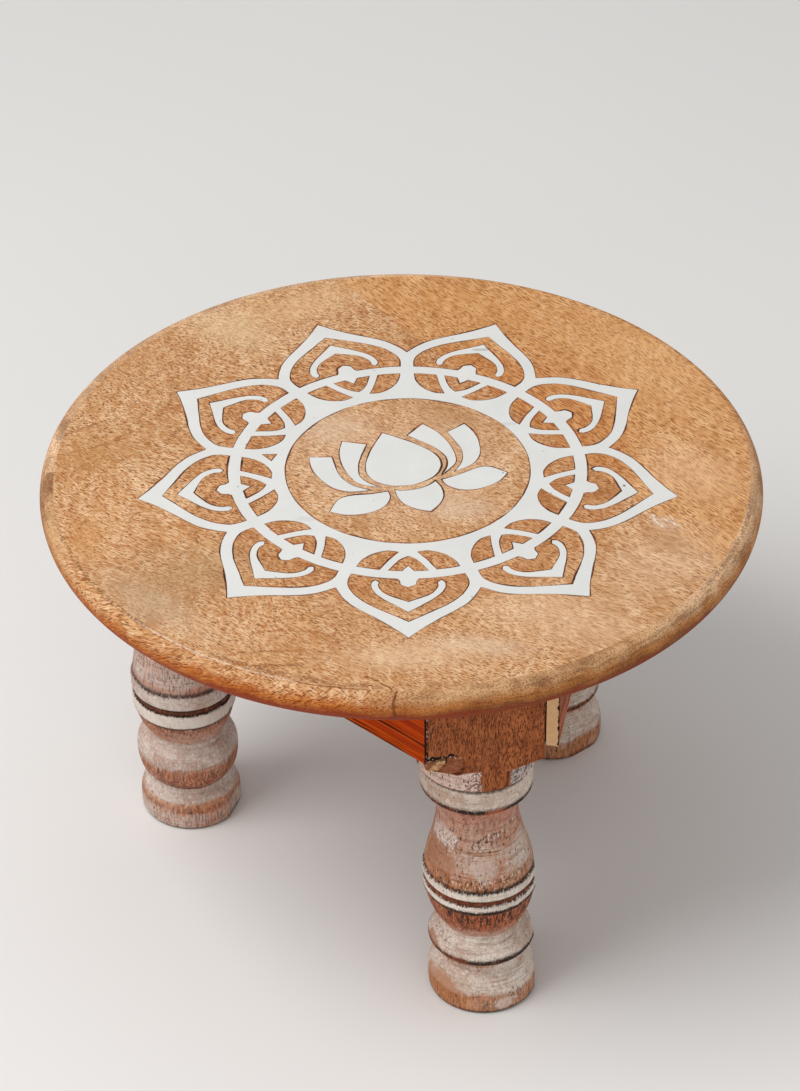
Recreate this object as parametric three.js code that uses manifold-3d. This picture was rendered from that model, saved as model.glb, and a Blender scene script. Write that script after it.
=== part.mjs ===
import * as THREE from 'three';
import { mergeVertices } from 'three/addons/utils/BufferGeometryUtils.js';
import Module from 'manifold-3d';

// Bajot low table. A round top of three edge-glued boards carries a flush white inlay.
// Three turned legs with square heads stand under it, joined by three thin apron rails.
// Millimetres, +Z up, floor at zero, the disc centred on the Z axis.

// Sizes of the whole
const disc_diameter = 254;
const disc_thickness = 13.6;
const table_height = 166;

// Legs
const leg_count = 3;
const leg_circle_radius = 83.2;
const leg_stock_width = 41;
const leg_block_height = 34.7;
const first_leg_angle = -72 * Math.PI / 180;
const leg_twist_angle = -8 * Math.PI / 180;

// Departures of the feet from the leg circle, and of every head from over its foot,
// as shares of the circle's radius
const foot_shift_shares = [
  [0.0323, -0.0232],
  [0.0088, -0.0303],
  [0.0286, 0.023],
];
const head_shift_shares = [-0.043, 0.005];

// Apron rails
const rail_height = 33.7;
const rail_thickness = 8;
const rail_lip = 4.2;
const rail_glue_gap = 0.3;

// Dowels between the leg heads and the top
const dowel_diameter = 10;
const dowel_length = 20;
const dowel_in_top = 7;
const dowel_gap = 0.3;

// White inlay in the top
const inlay_depth = 1.6;
const inlay_gap = 0.25;
const petal_count = 9;
const first_petal_angle = -90 * Math.PI / 180;
const lotus_angle = 110 * Math.PI / 180;

// Board joints, as distances from the disc centre across the grain
const joint_angle = 37 * Math.PI / 180;
const front_joint_share = -0.595;
const back_joint_share = 0.428;

// Fineness of the curves, and the least share of a gap that a sharp corner's miter keeps
const sharpest_miter_share = 0.4;
const repeat_share = 0.1;
const disc_sides = 72;
const leg_sides = 24;
const dowel_sides = 16;
const curve_steps = 6;
const short_curve_steps = 3;

const disc_radius = disc_diameter / 2;
const disc_bottom = table_height - disc_thickness;
const turned_height = disc_bottom - leg_block_height;
const leg_half_width = leg_stock_width / 2;
const petal_pitch = 2 * Math.PI / petal_count;

// Edge of the disc from the flat top to the underside.
// Radius as a share of the disc radius, height as a share of the thickness.
const disc_edge_shares = [
  [0.9687, 1],
  [0.985, 0.93],
  [0.996, 0.77],
  [1, 0.57],
  [0.994, 0.34],
  [0.976, 0.13],
  [0.942, 0],
];

// Turned profiles of the legs from the floor up, one with a thin and one with a deep lower disc.
// Radius as a share of half the stock width, height as a share of the turned height.
const thin_disc_profile_shares = [
  [0.89, 0],
  [0.94, 0.012],
  [0.945, 0.054],
  [0.92, 0.086],
  [0.86, 0.114],
  [0.77, 0.135],
  [0.725, 0.152],
  [0.75, 0.171],
  [0.895, 0.186],
  [0.92, 0.2],
  [0.905, 0.213],
  [0.765, 0.228],
  [0.65, 0.24],
  [0.63, 0.252],
  [0.73, 0.284],
  [0.825, 0.314],
  [0.9, 0.352],
  [0.935, 0.389],
  [0.972, 0.396],
  [0.972, 0.408],
  [0.95, 0.415],
  [0.95, 0.446],
  [0.975, 0.454],
  [0.97, 0.467],
  [0.93, 0.474],
  [0.86, 0.524],
  [0.775, 0.57],
  [0.715, 0.61],
  [0.694, 0.65],
  [0.715, 0.69],
  [0.79, 0.745],
  [0.76, 0.751],
  [0.87, 0.778],
  [0.935, 0.81],
  [0.945, 0.862],
  [0.9, 0.869],
  [0.99, 0.88],
  [1.035, 0.896],
  [1.04, 0.945],
  [1.22, 0.965],
  [1.5, 0.99],
];
const deep_disc_profile_shares = [
  [0.86, 0],
  [0.895, 0.012],
  [0.9, 0.054],
  [0.885, 0.082],
  [0.83, 0.104],
  [0.75, 0.12],
  [0.715, 0.134],
  [0.74, 0.15],
  [0.835, 0.172],
  [0.89, 0.202],
  [0.907, 0.236],
  [0.895, 0.262],
  [0.835, 0.284],
  [0.74, 0.3],
  [0.685, 0.313],
  [0.73, 0.33],
  [0.81, 0.356],
  [0.865, 0.385],
  [0.895, 0.41],
  [0.922, 0.418],
  [0.922, 0.454],
  [0.9, 0.462],
  [0.9, 0.48],
  [0.925, 0.488],
  [0.925, 0.53],
  [0.895, 0.54],
  [0.875, 0.58],
  [0.82, 0.62],
  [0.76, 0.657],
  [0.71, 0.693],
  [0.715, 0.725],
  [0.79, 0.758],
  [0.76, 0.765],
  [0.87, 0.785],
  [0.935, 0.814],
  [0.945, 0.862],
  [0.9, 0.869],
  [0.99, 0.88],
  [1.035, 0.896],
  [1.04, 0.945],
  [1.22, 0.965],
  [1.5, 0.99],
];
const leg_profiles = [
  thin_disc_profile_shares,
  thin_disc_profile_shares,
  deep_disc_profile_shares,
];

// Radius of the thin ring and of the round field inside the solid ring
const field_radius_share = 0.339;
const ring_inner_share = 0.4625;
const ring_outer_share = 0.4975;

// Half outlines of one petal, across and outward, as shares of the disc radius
const petal_valley_share = 0.569;
const petal_outside_shares = [
  [0.181, 0.5665],
  [0.1605, 0.6],
  [0.1312, 0.6305],
  [0.0895, 0.665],
  [0.0445, 0.7055],
  [0, 0.7535],
];
const petal_inside_shares = [
  [0, 0.6835],
  [0.0475, 0.6505],
  [0.1036, 0.61],
  [0.1414, 0.57],
  [0.1602, 0.53],
  [0.1615, 0.502],
  [0.152, 0.4737],
];
const bulb_shares = [
  [0.0295, 0.4966],
  [0.0237, 0.507],
  [0.0192, 0.5235],
  [0, 0.5346],
];
const bulb_tip_shares = [
  [0.017, 0.4625],
  [0, 0.438],
];
const arch_shares = [
  [0, 0.3966],
  [0.0201, 0.4103],
  [0.0365, 0.431],
  [0.0535, 0.4597],
];
const scallop_shares = [
  [0.139, 0.4411],
  [0.125, 0.414],
  [0.1045, 0.3926],
  [0.08, 0.3785],
  [0.0525, 0.3722],
  [0.0262, 0.3775],
];
const arch_back_shares = [
  [0.0262, 0.3775],
  [0.05, 0.4102],
  [0.065, 0.4345],
  [0.0775, 0.456],
];
const chevron_outside_shares = [
  [0, 0.6435],
  [0.032, 0.6155],
  [0.0645, 0.5875],
  [0.0885, 0.56],
  [0.1, 0.5325],
  [0.0995, 0.512],
];
const chevron_end_share = 0.0885;
const chevron_top_share = 0.5025;
const chevron_inside_shares = [
  [0.0783, 0.5115],
  [0.079, 0.53],
  [0.0695, 0.5515],
  [0.05, 0.5705],
  [0, 0.5975],
];
const stray_notch_shares = [
  [0.116, 0.351],
  [0.151, 0.349],
  [0.138, 0.386],
];
const stray_notch_petal = 6;

// Half outlines of the lotus, across and upward, as shares of the disc radius
const lotus_heart_shares = [
  [0, 0.187],
  [0.0424, 0.14],
  [0.0727, 0.1],
  [0.0958, 0.06],
  [0.106, 0.02],
  [0.0965, -0.02],
  [0.06, -0.057],
  [0, -0.0746],
];
const lotus_foot_top_shares = [
  [0, -0.0945],
  [0.035, -0.089],
  [0.0597, -0.077],
];
const lotus_foot_side_shares = [
  [0.0597, -0.077],
  [0.0644, -0.112],
  [0.056, -0.15],
  [0.034, -0.18],
  [0, -0.2035],
];
const inner_petal_outside_shares = [
  [0.12, 0.188],
  [0.1448, 0.14],
  [0.1568, 0.08],
  [0.1545, 0.02],
  [0.139, -0.02],
  [0.09, -0.054],
];
const inner_petal_inside_shares = [
  [0.09, -0.054],
  [0.117, -0.02],
  [0.1268, 0.02],
  [0.117, 0.06],
  [0.0955, 0.1],
  [0.06, 0.151],
];
const outer_petal_outside_shares = [
  [0.23, 0.149],
  [0.2395, 0.11],
  [0.2395, 0.06],
  [0.221, 0],
  [0.183, -0.04],
  [0.124, -0.055],
];
const outer_petal_inside_shares = [
  [0.124, -0.055],
  [0.158, -0.02],
  [0.1755, 0.02],
  [0.1787, 0.06],
  [0.171, 0.128],
];
const leaf_top_shares = [
  [0.079, -0.077],
  [0.13, -0.0715],
  [0.19, -0.059],
  [0.226, -0.069],
  [0.2613, -0.11],
];
const leaf_bottom_shares = [
  [0.2613, -0.11],
  [0.2222, -0.14],
  [0.165, -0.153],
  [0.114, -0.14],
  [0.084, -0.108],
  [0.079, -0.077],
];
const pattern_shift_shares = [0.0178, 0.0069];
const lotus_shift_share = -0.0065;

const wasm = await Module();
wasm.setup();

// Solid from a closed triangle geometry, less the triangles that shrink to nothing on its axis
function toSolid(geometry) {
  const bare = geometry.clone();
  bare.deleteAttribute('normal');
  bare.deleteAttribute('uv');
  const merged = mergeVertices(bare);
  const corners = merged.getIndex().array;
  const triangles = [];
  for (let i = 0; i < corners.length; i += 3) {
    const [a, b, c] = corners.slice(i, i + 3);
    if (a !== b && b !== c && c !== a) {
      triangles.push(a, b, c);
    }
  }
  const mesh = new wasm.Mesh({
    numProp: 3,
    vertProperties: merged.getAttribute('position').array,
    triVerts: Uint32Array.from(triangles),
  });
  return new wasm.Manifold(mesh);
}

function toGeometry(solid) {
  const mesh = solid.getMesh();
  const geometry = new THREE.BufferGeometry();
  geometry.setAttribute('position', new THREE.BufferAttribute(mesh.vertProperties, 3));
  geometry.setIndex(new THREE.BufferAttribute(mesh.triVerts, 1));
  const plain = geometry.toNonIndexed();
  plain.computeVertexNormals();
  return plain;
}

function sized(shares, unit) {
  return shares.map(([across, along]) => new THREE.Vector2(across * unit, along * unit));
}

function smooth(points, steps) {
  return new THREE.SplineCurve(points).getPoints(steps);
}

function mirrored(points) {
  return points.map((point) => new THREE.Vector2(-point.x, point.y)).reverse();
}

// Points on a circle between two directions, ends left out
function arcBetween(from, to, radius, steps) {
  const start = Math.atan2(from.y, from.x);
  const end = Math.atan2(to.y, to.x);
  const points = [];
  for (let i = 1; i < steps; i += 1) {
    const angle = start + (end - start) * i / steps;
    points.push(new THREE.Vector2(radius * Math.cos(angle), radius * Math.sin(angle)));
  }
  return points;
}

// Closed loop without repeated corners, running anticlockwise
function loopOf(points) {
  const kept = points.filter((point, i) => {
    const next = points[(i + 1) % points.length];
    return point.distanceTo(next) > inlay_gap * repeat_share;
  });
  return THREE.ShapeUtils.isClockWise(kept) ? kept.reverse() : kept;
}

// Loop moved outward by a distance, or inward when it is negative
function grown(loop, distance) {
  return loop.map((point, i) => {
    const before = loop[(i + loop.length - 1) % loop.length];
    const after = loop[(i + 1) % loop.length];
    const inward = point.clone().sub(before).normalize();
    const outward = after.clone().sub(point).normalize();
    const first = new THREE.Vector2(inward.y, -inward.x);
    const second = new THREE.Vector2(outward.y, -outward.x);
    const middle = first.clone().add(second).normalize();
    const stretch = distance / Math.max(middle.dot(first), sharpest_miter_share);
    return point.clone().addScaledVector(middle, stretch);
  });
}

// Loop drawn upright, turned so that its up direction points along the angle
function placed(loop, angle, shift) {
  const centre = new THREE.Vector2(
    pattern_shift_shares[0] * disc_radius,
    pattern_shift_shares[1] * disc_radius,
  );
  const up = new THREE.Vector2(Math.cos(angle), Math.sin(angle));
  const across = new THREE.Vector2(up.y, -up.x);
  const moved = loop.map((point) => centre.clone()
    .addScaledVector(across, point.x + shift)
    .addScaledVector(up, point.y));
  return loopOf(moved);
}

function prism(outline, holes, bottom, height) {
  const shape = new THREE.Shape(outline);
  shape.holes = holes.map((hole) => new THREE.Path(hole));
  const geometry = new THREE.ExtrudeGeometry(shape, { depth: height, bevelEnabled: false });
  geometry.translate(0, 0, bottom);
  return geometry;
}

function material(color, roughness) {
  return new THREE.MeshStandardMaterial({ color, roughness, metalness: 0 });
}

function addNode(group, name, geometry, paint) {
  const mesh = new THREE.Mesh(geometry, paint);
  mesh.name = name;
  group.add(mesh);
}

// Loops of the mandala in the upright frame of one petal
function petalWindows() {
  const ring_inner = ring_inner_share * disc_radius;
  const ring_outer = ring_outer_share * disc_radius;
  const inside = smooth(sized(petal_inside_shares, disc_radius), curve_steps + 1);
  const bulb = smooth(sized(bulb_shares, disc_radius), short_curve_steps + 1);
  const toBulb = arcBetween(inside.at(-1), bulb[0], ring_outer, short_curve_steps);
  const halfField = [...inside, ...toBulb, ...bulb];
  const field = [...halfField, ...mirrored(halfField)];

  const arch = smooth(sized(arch_shares, disc_radius), short_curve_steps);
  const tip = sized(bulb_tip_shares, disc_radius);
  const halfArch = [...arch, ...tip];
  const archWindow = [...halfArch, ...mirrored(halfArch)];

  const scallop = smooth(sized(scallop_shares, disc_radius), curve_steps);
  const back = smooth(sized(arch_back_shares, disc_radius), short_curve_steps);
  const ringPart = arcBetween(back.at(-1), scallop[0], ring_inner, short_curve_steps);
  const lens = [...scallop, ...back, ...ringPart];
  return [field, archWindow, lens, mirrored(lens)];
}

function chevronLoop() {
  const outside = smooth(sized(chevron_outside_shares, disc_radius), curve_steps);
  const inside = smooth(sized(chevron_inside_shares, disc_radius), curve_steps - 1);
  const top = new THREE.Vector2(chevron_end_share * disc_radius, chevron_top_share * disc_radius);
  const end = smooth([outside.at(-1), top, inside[0]], short_curve_steps + 1);
  const half = [...outside, ...end, ...inside];
  return [...half, ...mirrored(half)];
}

function mandala() {
  const outline = [];
  const windows = [];
  const chevrons = [];
  const valley = new THREE.Vector2(
    petal_valley_share * disc_radius * Math.sin(petal_pitch / 2),
    petal_valley_share * disc_radius * Math.cos(petal_pitch / 2),
  );
  const outside = smooth([valley, ...sized(petal_outside_shares, disc_radius)], curve_steps + 1);
  const half = mirrored(outside);
  const petal = [...outside, ...half.slice(1, -1)];
  for (let i = 0; i < petal_count; i += 1) {
    const angle = first_petal_angle + i * petal_pitch;
    const up = new THREE.Vector2(Math.cos(angle), Math.sin(angle));
    const across = new THREE.Vector2(up.y, -up.x);
    const turned = petal.map((point) => new THREE.Vector2()
      .addScaledVector(across, point.x)
      .addScaledVector(up, point.y));
    outline.push(...turned);
    windows.push(...petalWindows().map((loop) => placed(loop, angle, 0)));
    chevrons.push(placed(chevronLoop(), angle, 0));
  }
  const field = new THREE.Path().absarc(0, 0, field_radius_share * disc_radius, 0, 2 * Math.PI);
  windows.push(placed(field.getSpacedPoints(disc_sides), Math.PI / 2, 0));
  const notch = mirrored(sized(stray_notch_shares, disc_radius));
  const notch_angle = first_petal_angle + stray_notch_petal * petal_pitch;
  windows.push(placed(notch, notch_angle, 0));
  return { outline: placed(outline, Math.PI / 2, 0), windows, chevrons };
}

// Closed loops of the lotus petals with their names
function lotus() {
  const heartHalf = smooth(sized(lotus_heart_shares, disc_radius), curve_steps + 2);
  const footTop = smooth(sized(lotus_foot_top_shares, disc_radius), short_curve_steps - 1);
  const footSide = smooth(sized(lotus_foot_side_shares, disc_radius), curve_steps - 1);
  const footHalf = [...footTop, ...footSide];
  const inner = [
    ...smooth(sized(inner_petal_outside_shares, disc_radius), curve_steps),
    ...smooth(sized(inner_petal_inside_shares, disc_radius), curve_steps),
  ];
  const outer = [
    ...smooth(sized(outer_petal_outside_shares, disc_radius), curve_steps),
    ...smooth(sized(outer_petal_inside_shares, disc_radius), curve_steps),
  ];
  const leaf = [
    ...smooth(sized(leaf_top_shares, disc_radius), curve_steps),
    ...smooth(sized(leaf_bottom_shares, disc_radius), curve_steps),
  ];
  const loops = {
    lotus_heart: [...heartHalf, ...mirrored(heartHalf)],
    lotus_foot: [...footHalf, ...mirrored(footHalf)],
    lotus_inner_petal_right: inner,
    lotus_inner_petal_left: mirrored(inner),
    lotus_outer_petal_right: outer,
    lotus_outer_petal_left: mirrored(outer),
    lotus_leaf_right: leaf,
    lotus_leaf_left: mirrored(leaf),
  };
  const shift = lotus_shift_share * disc_radius;
  return Object.entries(loops).map(([name, loop]) => [name, placed(loop, lotus_angle, shift)]);
}

const legAngles = Array.from({ length: leg_count }, (unused, i) => (
  first_leg_angle + i * 2 * Math.PI / leg_count
));

const headShift = new THREE.Vector2(...head_shift_shares).multiplyScalar(leg_circle_radius);

// Centre of each square head
const legCentres = legAngles.map((angle, i) => (
  new THREE.Vector2(Math.cos(angle), Math.sin(angle))
    .add(new THREE.Vector2(...foot_shift_shares[i]))
    .multiplyScalar(leg_circle_radius)
    .add(headShift)
));

// Turned leg left square at the head, with a blind dowel hole in its top.
// Its axis runs from the head's centre to the foot's, which lies off by the lean.
function legGeometry(profile_shares, lean) {
  const profile = profile_shares.map(([across, along]) => (
    new THREE.Vector2(across * leg_half_width, along * turned_height)
  ));
  const wide = profile.at(-1).x;
  const outline = [
    new THREE.Vector2(0, 0),
    ...profile,
    new THREE.Vector2(wide, disc_bottom),
    new THREE.Vector2(0, disc_bottom),
  ];
  const lathe = new THREE.LatheGeometry(outline, leg_sides);
  lathe.rotateX(Math.PI / 2);
  const places = lathe.getAttribute('position');
  for (let i = 0; i < places.count; i += 1) {
    const share = Math.max(1 - places.getZ(i) / turned_height, 0);
    places.setX(i, places.getX(i) + lean.x * share);
    places.setY(i, places.getY(i) + lean.y * share);
  }
  const stock = new THREE.BoxGeometry(leg_stock_width, leg_stock_width, 2 * table_height);
  const dowel_depth = dowel_length - dowel_in_top;
  const hole_radius = dowel_diameter / 2 + dowel_gap;
  const hole = new THREE.CylinderGeometry(hole_radius, hole_radius, 2 * dowel_depth, dowel_sides);
  hole.rotateX(Math.PI / 2);
  hole.translate(0, 0, disc_bottom);
  return toGeometry(toSolid(lathe).intersect(toSolid(stock)).subtract(toSolid(hole)));
}

function dowelGeometry() {
  const radius = dowel_diameter / 2;
  const dowel = new THREE.CylinderGeometry(radius, radius, dowel_length, dowel_sides);
  dowel.rotateX(Math.PI / 2);
  dowel.translate(0, 0, disc_bottom + dowel_in_top - dowel_length / 2);
  return dowel;
}

// Where two lines in the plan cross, each given by a point and a direction
function crossing(point, direction, other, otherDirection) {
  const span = other.clone().sub(point);
  const turn = direction.cross(otherDirection);
  return point.clone().addScaledVector(direction, span.cross(otherDirection) / turn);
}

// Apron rail from one leg head to the next.
// Its near end stands proud of the head as a square lip, its far end is cut to a feather edge.
function railGeometry(i) {
  const far = (i + 1) % leg_count;
  const angle = legAngles[i];
  const next = legAngles[far];
  const nearOut = new THREE.Vector2(
    Math.cos(angle + leg_twist_angle),
    Math.sin(angle + leg_twist_angle),
  );
  const nearSide = new THREE.Vector2(-nearOut.y, nearOut.x);
  const farOut = new THREE.Vector2(
    Math.cos(next + leg_twist_angle),
    Math.sin(next + leg_twist_angle),
  );
  const farSide = new THREE.Vector2(farOut.y, -farOut.x);
  const reach = leg_half_width + rail_glue_gap;
  const nearCorner = legCentres[i].clone()
    .addScaledVector(nearOut, leg_half_width)
    .addScaledVector(nearSide, reach);
  const farCorner = legCentres[far].clone()
    .addScaledVector(farOut, leg_half_width)
    .addScaledVector(farSide, reach);
  const along = farCorner.clone().sub(nearCorner).normalize();
  const outward = new THREE.Vector2(along.y, -along.x);
  const lipCorner = nearCorner.clone().addScaledVector(outward, rail_lip);
  const run = farCorner.clone().sub(lipCorner).normalize();
  const inset = new THREE.Vector2(-run.y, run.x);
  const back = lipCorner.clone().addScaledVector(inset, rail_thickness);
  const nearBack = crossing(back, run, nearCorner, nearOut);
  const farBack = crossing(back, run, farCorner, farOut);
  const outline = loopOf([lipCorner, farCorner, farBack, nearBack, nearCorner]);
  return prism(outline, [], disc_bottom - rail_height, rail_height);
}

// Disc with the pockets for the inlay and the dowels, sawn into its boards
function topBoards(pockets) {
  const edge = disc_edge_shares.map(([across, up]) => (
    new THREE.Vector2(across * disc_radius, disc_bottom + up * disc_thickness)
  ));
  const outline = [
    new THREE.Vector2(0, disc_bottom),
    ...edge.reverse(),
    new THREE.Vector2(0, table_height),
  ];
  const lathe = new THREE.LatheGeometry(outline, disc_sides);
  lathe.rotateX(Math.PI / 2);
  let disc = toSolid(lathe);
  pockets.forEach((pocket) => {
    disc = disc.subtract(toSolid(pocket));
  });
  legCentres.forEach((centre) => {
    const hole_radius = dowel_diameter / 2 + dowel_gap;
    const hole = new THREE.CylinderGeometry(hole_radius, hole_radius, 2 * dowel_in_top, dowel_sides);
    hole.rotateX(Math.PI / 2);
    hole.translate(centre.x, centre.y, disc_bottom);
    disc = disc.subtract(toSolid(hole));
  });
  const side = 2 * disc_diameter;
  const backHalf = (share) => {
    const box = new THREE.BoxGeometry(side, side, side);
    box.translate(share * disc_radius + side / 2, 0, 0);
    box.rotateZ(joint_angle);
    return toSolid(box);
  };
  const rest = disc.intersect(backHalf(front_joint_share));
  return {
    top_board_front: disc.subtract(backHalf(front_joint_share)),
    top_board_middle: rest.subtract(backHalf(back_joint_share)),
    top_board_back: rest.intersect(backHalf(back_joint_share)),
  };
}

const table = new THREE.Group();
table.name = 'bajot_low_table';

const wood = material(0xc39160, 0.55);
const filler = material(0xe6e3db, 0.6);
const washed = material(0xb49a86, 0.75);
const stained = material(0xa5622f, 0.6);
const pin = material(0xcba778, 0.7);

const { outline, windows, chevrons } = mandala();
const islands = [
  ...chevrons.map((loop, i) => [`chevron_inlay_${i + 1}`, loop]),
  ...lotus(),
];
const pocket_floor = table_height - inlay_depth;
const pockets = [
  prism(outline, windows, pocket_floor, 2 * inlay_depth),
  ...islands.map(([, loop]) => prism(loop, [], pocket_floor, 2 * inlay_depth)),
];
Object.entries(topBoards(pockets)).forEach(([name, solid]) => {
  addNode(table, name, toGeometry(solid), wood.clone());
});

const lattice = prism(
  grown(outline, -inlay_gap),
  windows.map((loop) => grown(loop, inlay_gap)),
  pocket_floor,
  inlay_depth,
);
addNode(table, 'mandala_inlay', lattice, filler.clone());
islands.forEach(([name, loop]) => {
  const island = prism(grown(loop, -inlay_gap), [], pocket_floor, inlay_depth);
  addNode(table, name, island, filler.clone());
});

legCentres.forEach((centre, i) => {
  const turn = legAngles[i] + leg_twist_angle;
  const lean = headShift.clone().negate().rotateAround(new THREE.Vector2(0, 0), -turn);
  const place = new THREE.Group();
  place.position.set(centre.x, centre.y, 0);
  place.rotation.z = turn;
  addNode(place, `leg_${i + 1}`, legGeometry(leg_profiles[i], lean), washed.clone());
  addNode(place, `leg_dowel_${i + 1}`, dowelGeometry(), pin.clone());
  table.add(place);
  addNode(table, `apron_rail_${i + 1}`, railGeometry(i), stained.clone());
});

export default table;
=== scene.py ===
import math
from contextlib import contextmanager

import bmesh
import bpy
from mathutils import Matrix, Vector, noise
from mathutils.geometry import tessellate_polygon


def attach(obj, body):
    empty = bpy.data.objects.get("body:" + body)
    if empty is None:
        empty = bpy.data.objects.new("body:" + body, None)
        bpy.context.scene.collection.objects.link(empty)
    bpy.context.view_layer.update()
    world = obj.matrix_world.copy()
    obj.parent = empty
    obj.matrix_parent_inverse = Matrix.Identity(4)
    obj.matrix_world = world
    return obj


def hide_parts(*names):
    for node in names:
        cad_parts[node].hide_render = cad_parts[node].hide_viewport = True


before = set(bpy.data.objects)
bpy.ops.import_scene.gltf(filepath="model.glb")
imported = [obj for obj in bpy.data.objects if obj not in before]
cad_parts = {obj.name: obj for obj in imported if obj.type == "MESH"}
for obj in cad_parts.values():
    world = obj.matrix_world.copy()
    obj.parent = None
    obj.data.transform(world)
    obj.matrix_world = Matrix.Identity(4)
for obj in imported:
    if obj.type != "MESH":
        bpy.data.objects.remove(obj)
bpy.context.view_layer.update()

# The parts of the low table as they are seen, in the CAD's frame: Z up, the front towards -Y.
# Sizes in metres
disc_radius = 0.127
disc_thickness = 0.0136
table_height = 0.166
disc_bottom = table_height - disc_thickness
stock_half = 0.0205
block_height = 0.0347
turned_height = disc_bottom - block_height
leg_circle = 0.0832
leg_angles = [math.radians(a) for a in (-72, 48, 168)]
leg_twist = math.radians(-8)
foot_shifts = [(0.0323, -0.0232), (0.0088, -0.0303), (0.0286, 0.023)]
head_shift = Vector((-0.043, 0.005)) * leg_circle
rail_height = 0.0337
rail_thickness = 0.008
rail_lip = 0.0042
rail_trims = [0.0026, 0, 0]
glue_gap = 0.0003
inlay_depth = 0.0016
inlay_gap = 0.00012
disc_sides, leg_sides = 320, 144
petal_count = 9
petal_pitch = math.tau / petal_count
joint_angle = math.radians(37)
front_joint = -0.595 * disc_radius
back_joint = 0.428 * disc_radius
pattern_shift = Vector((0.0178, 0.0069)) * disc_radius
lotus_angle = math.radians(110)
lotus_shift = -0.0065 * disc_radius

# ---------------------------------------------------------------- curves
petal_outside = [
    (0.181, 0.5665), (0.1605, 0.6), (0.1312, 0.6305), (0.0895, 0.665), (0.0445, 0.7055), (0, 0.7535),
]
petal_inside = [
    (0, 0.6835), (0.0475, 0.6505), (0.1036, 0.61), (0.1414, 0.57), (0.1602, 0.53), (0.1615, 0.502),
    (0.152, 0.4737),
]
bulb = [(0.0295, 0.4966), (0.0237, 0.507), (0.0192, 0.5235), (0, 0.5346)]
bulb_tip = [(0.017, 0.4625), (0, 0.438)]
arch = [(0, 0.3966), (0.0201, 0.4103), (0.0365, 0.431), (0.0535, 0.4597)]
scallop = [
    (0.139, 0.4411), (0.125, 0.414), (0.1045, 0.3926), (0.08, 0.3785), (0.0525, 0.3722), (0.0262, 0.3775),
]
arch_back = [(0.0262, 0.3775), (0.05, 0.4102), (0.065, 0.4345), (0.0775, 0.456)]
chevron_outside = [
    (0, 0.6435), (0.032, 0.6155), (0.0645, 0.5875), (0.0885, 0.56), (0.1, 0.5325), (0.0995, 0.512),
]
chevron_end = (0.0885, 0.5025)
chevron_inside = [(0.0783, 0.5115), (0.079, 0.53), (0.0695, 0.5515), (0.05, 0.5705), (0, 0.5975)]
stray_notch = [(0.116, 0.351), (0.151, 0.349), (0.138, 0.386)]
heart = [
    (0, 0.187), (0.0424, 0.14), (0.0727, 0.1), (0.0958, 0.06), (0.106, 0.02), (0.0965, -0.02), (0.06, -0.057),
    (0, -0.0746),
]
foot_top = [(0, -0.0945), (0.035, -0.089), (0.0597, -0.077)]
foot_side = [(0.0597, -0.077), (0.0644, -0.112), (0.056, -0.15), (0.034, -0.18), (0, -0.2035)]
inner_outside = [(0.12, 0.188), (0.1448, 0.14), (0.1568, 0.08), (0.1545, 0.02), (0.139, -0.02), (0.09, -0.054)]
inner_inside = [(0.09, -0.054), (0.117, -0.02), (0.1268, 0.02), (0.117, 0.06), (0.0955, 0.1), (0.06, 0.151)]
outer_outside = [(0.23, 0.149), (0.2395, 0.11), (0.2395, 0.06), (0.221, 0), (0.183, -0.04), (0.124, -0.055)]
outer_inside = [(0.124, -0.055), (0.158, -0.02), (0.1755, 0.02), (0.1787, 0.06), (0.171, 0.128)]
leaf_top = [(0.079, -0.077), (0.13, -0.0715), (0.19, -0.059), (0.226, -0.069), (0.2613, -0.11)]
leaf_bottom = [
    (0.2613, -0.11), (0.2222, -0.14), (0.165, -0.153), (0.114, -0.14), (0.084, -0.108), (0.079, -0.077),
]
ring_inner, ring_outer, field_radius, petal_valley = 0.4625, 0.4975, 0.339, 0.569
stray_petal = 6

# Turned profiles: runs of points that meet at sharp corners, each going on from the last point of the one
# before. Radius in thousandths of half the stock, height in thousandths of the turned height.
head_profile = [
    [(945, 787), (962, 795), (966, 830), (962, 860), (948, 868)],
    [(915, 871), (915, 876)],
    [(990, 880), (1035, 896), (1040, 920), (1040, 945)],
    [(1220, 965), (1500, 990)],
]
thin_disc_profile = [
    [(885, 0), (930, 6), (945, 20), (948, 50), (935, 78), (900, 100), (840, 120), (770, 136), (725, 150),
     (735, 163)],
    [(790, 172), (870, 184), (905, 193)],
    [(920, 199), (915, 207), (880, 217), (820, 227), (750, 236), (685, 243)],
    [(695, 248), (685, 255), (650, 260)],
    [(705, 277), (785, 300), (855, 328), (905, 355), (932, 380), (940, 391)],
    [(963, 396), (978, 404), (978, 420), (968, 427), (945, 430)],
    [(943, 448)],
    [(966, 451), (980, 457), (980, 470), (966, 477), (940, 481)],
    [(928, 500), (900, 525), (855, 555), (805, 585), (760, 615), (725, 645), (703, 675), (700, 695), (712, 718),
     (745, 742), (785, 760)],
    [(860, 771), (905, 779), (900, 784)],
] + head_profile
deep_disc_profile = [
    [(850, 0), (885, 6), (900, 20), (903, 50), (893, 72)],
    [(885, 75), (862, 90), (810, 107), (745, 121), (715, 133), (725, 145)],
    [(790, 160), (860, 180), (900, 210), (910, 238), (900, 262), (865, 280), (800, 294), (720, 304)],
    [(725, 309), (710, 316), (685, 320)],
    [(735, 335), (810, 358), (865, 385), (895, 410)],
    [(918, 414), (928, 422), (928, 450), (915, 458), (890, 461)],
    [(885, 480)],
    [(910, 484), (928, 492), (930, 523), (915, 532), (890, 535)],
    [(875, 565), (835, 605), (785, 640), (735, 675), (710, 705), (720, 730), (750, 750), (790, 765)],
    [(860, 773), (905, 779), (900, 784)],
] + head_profile


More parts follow.
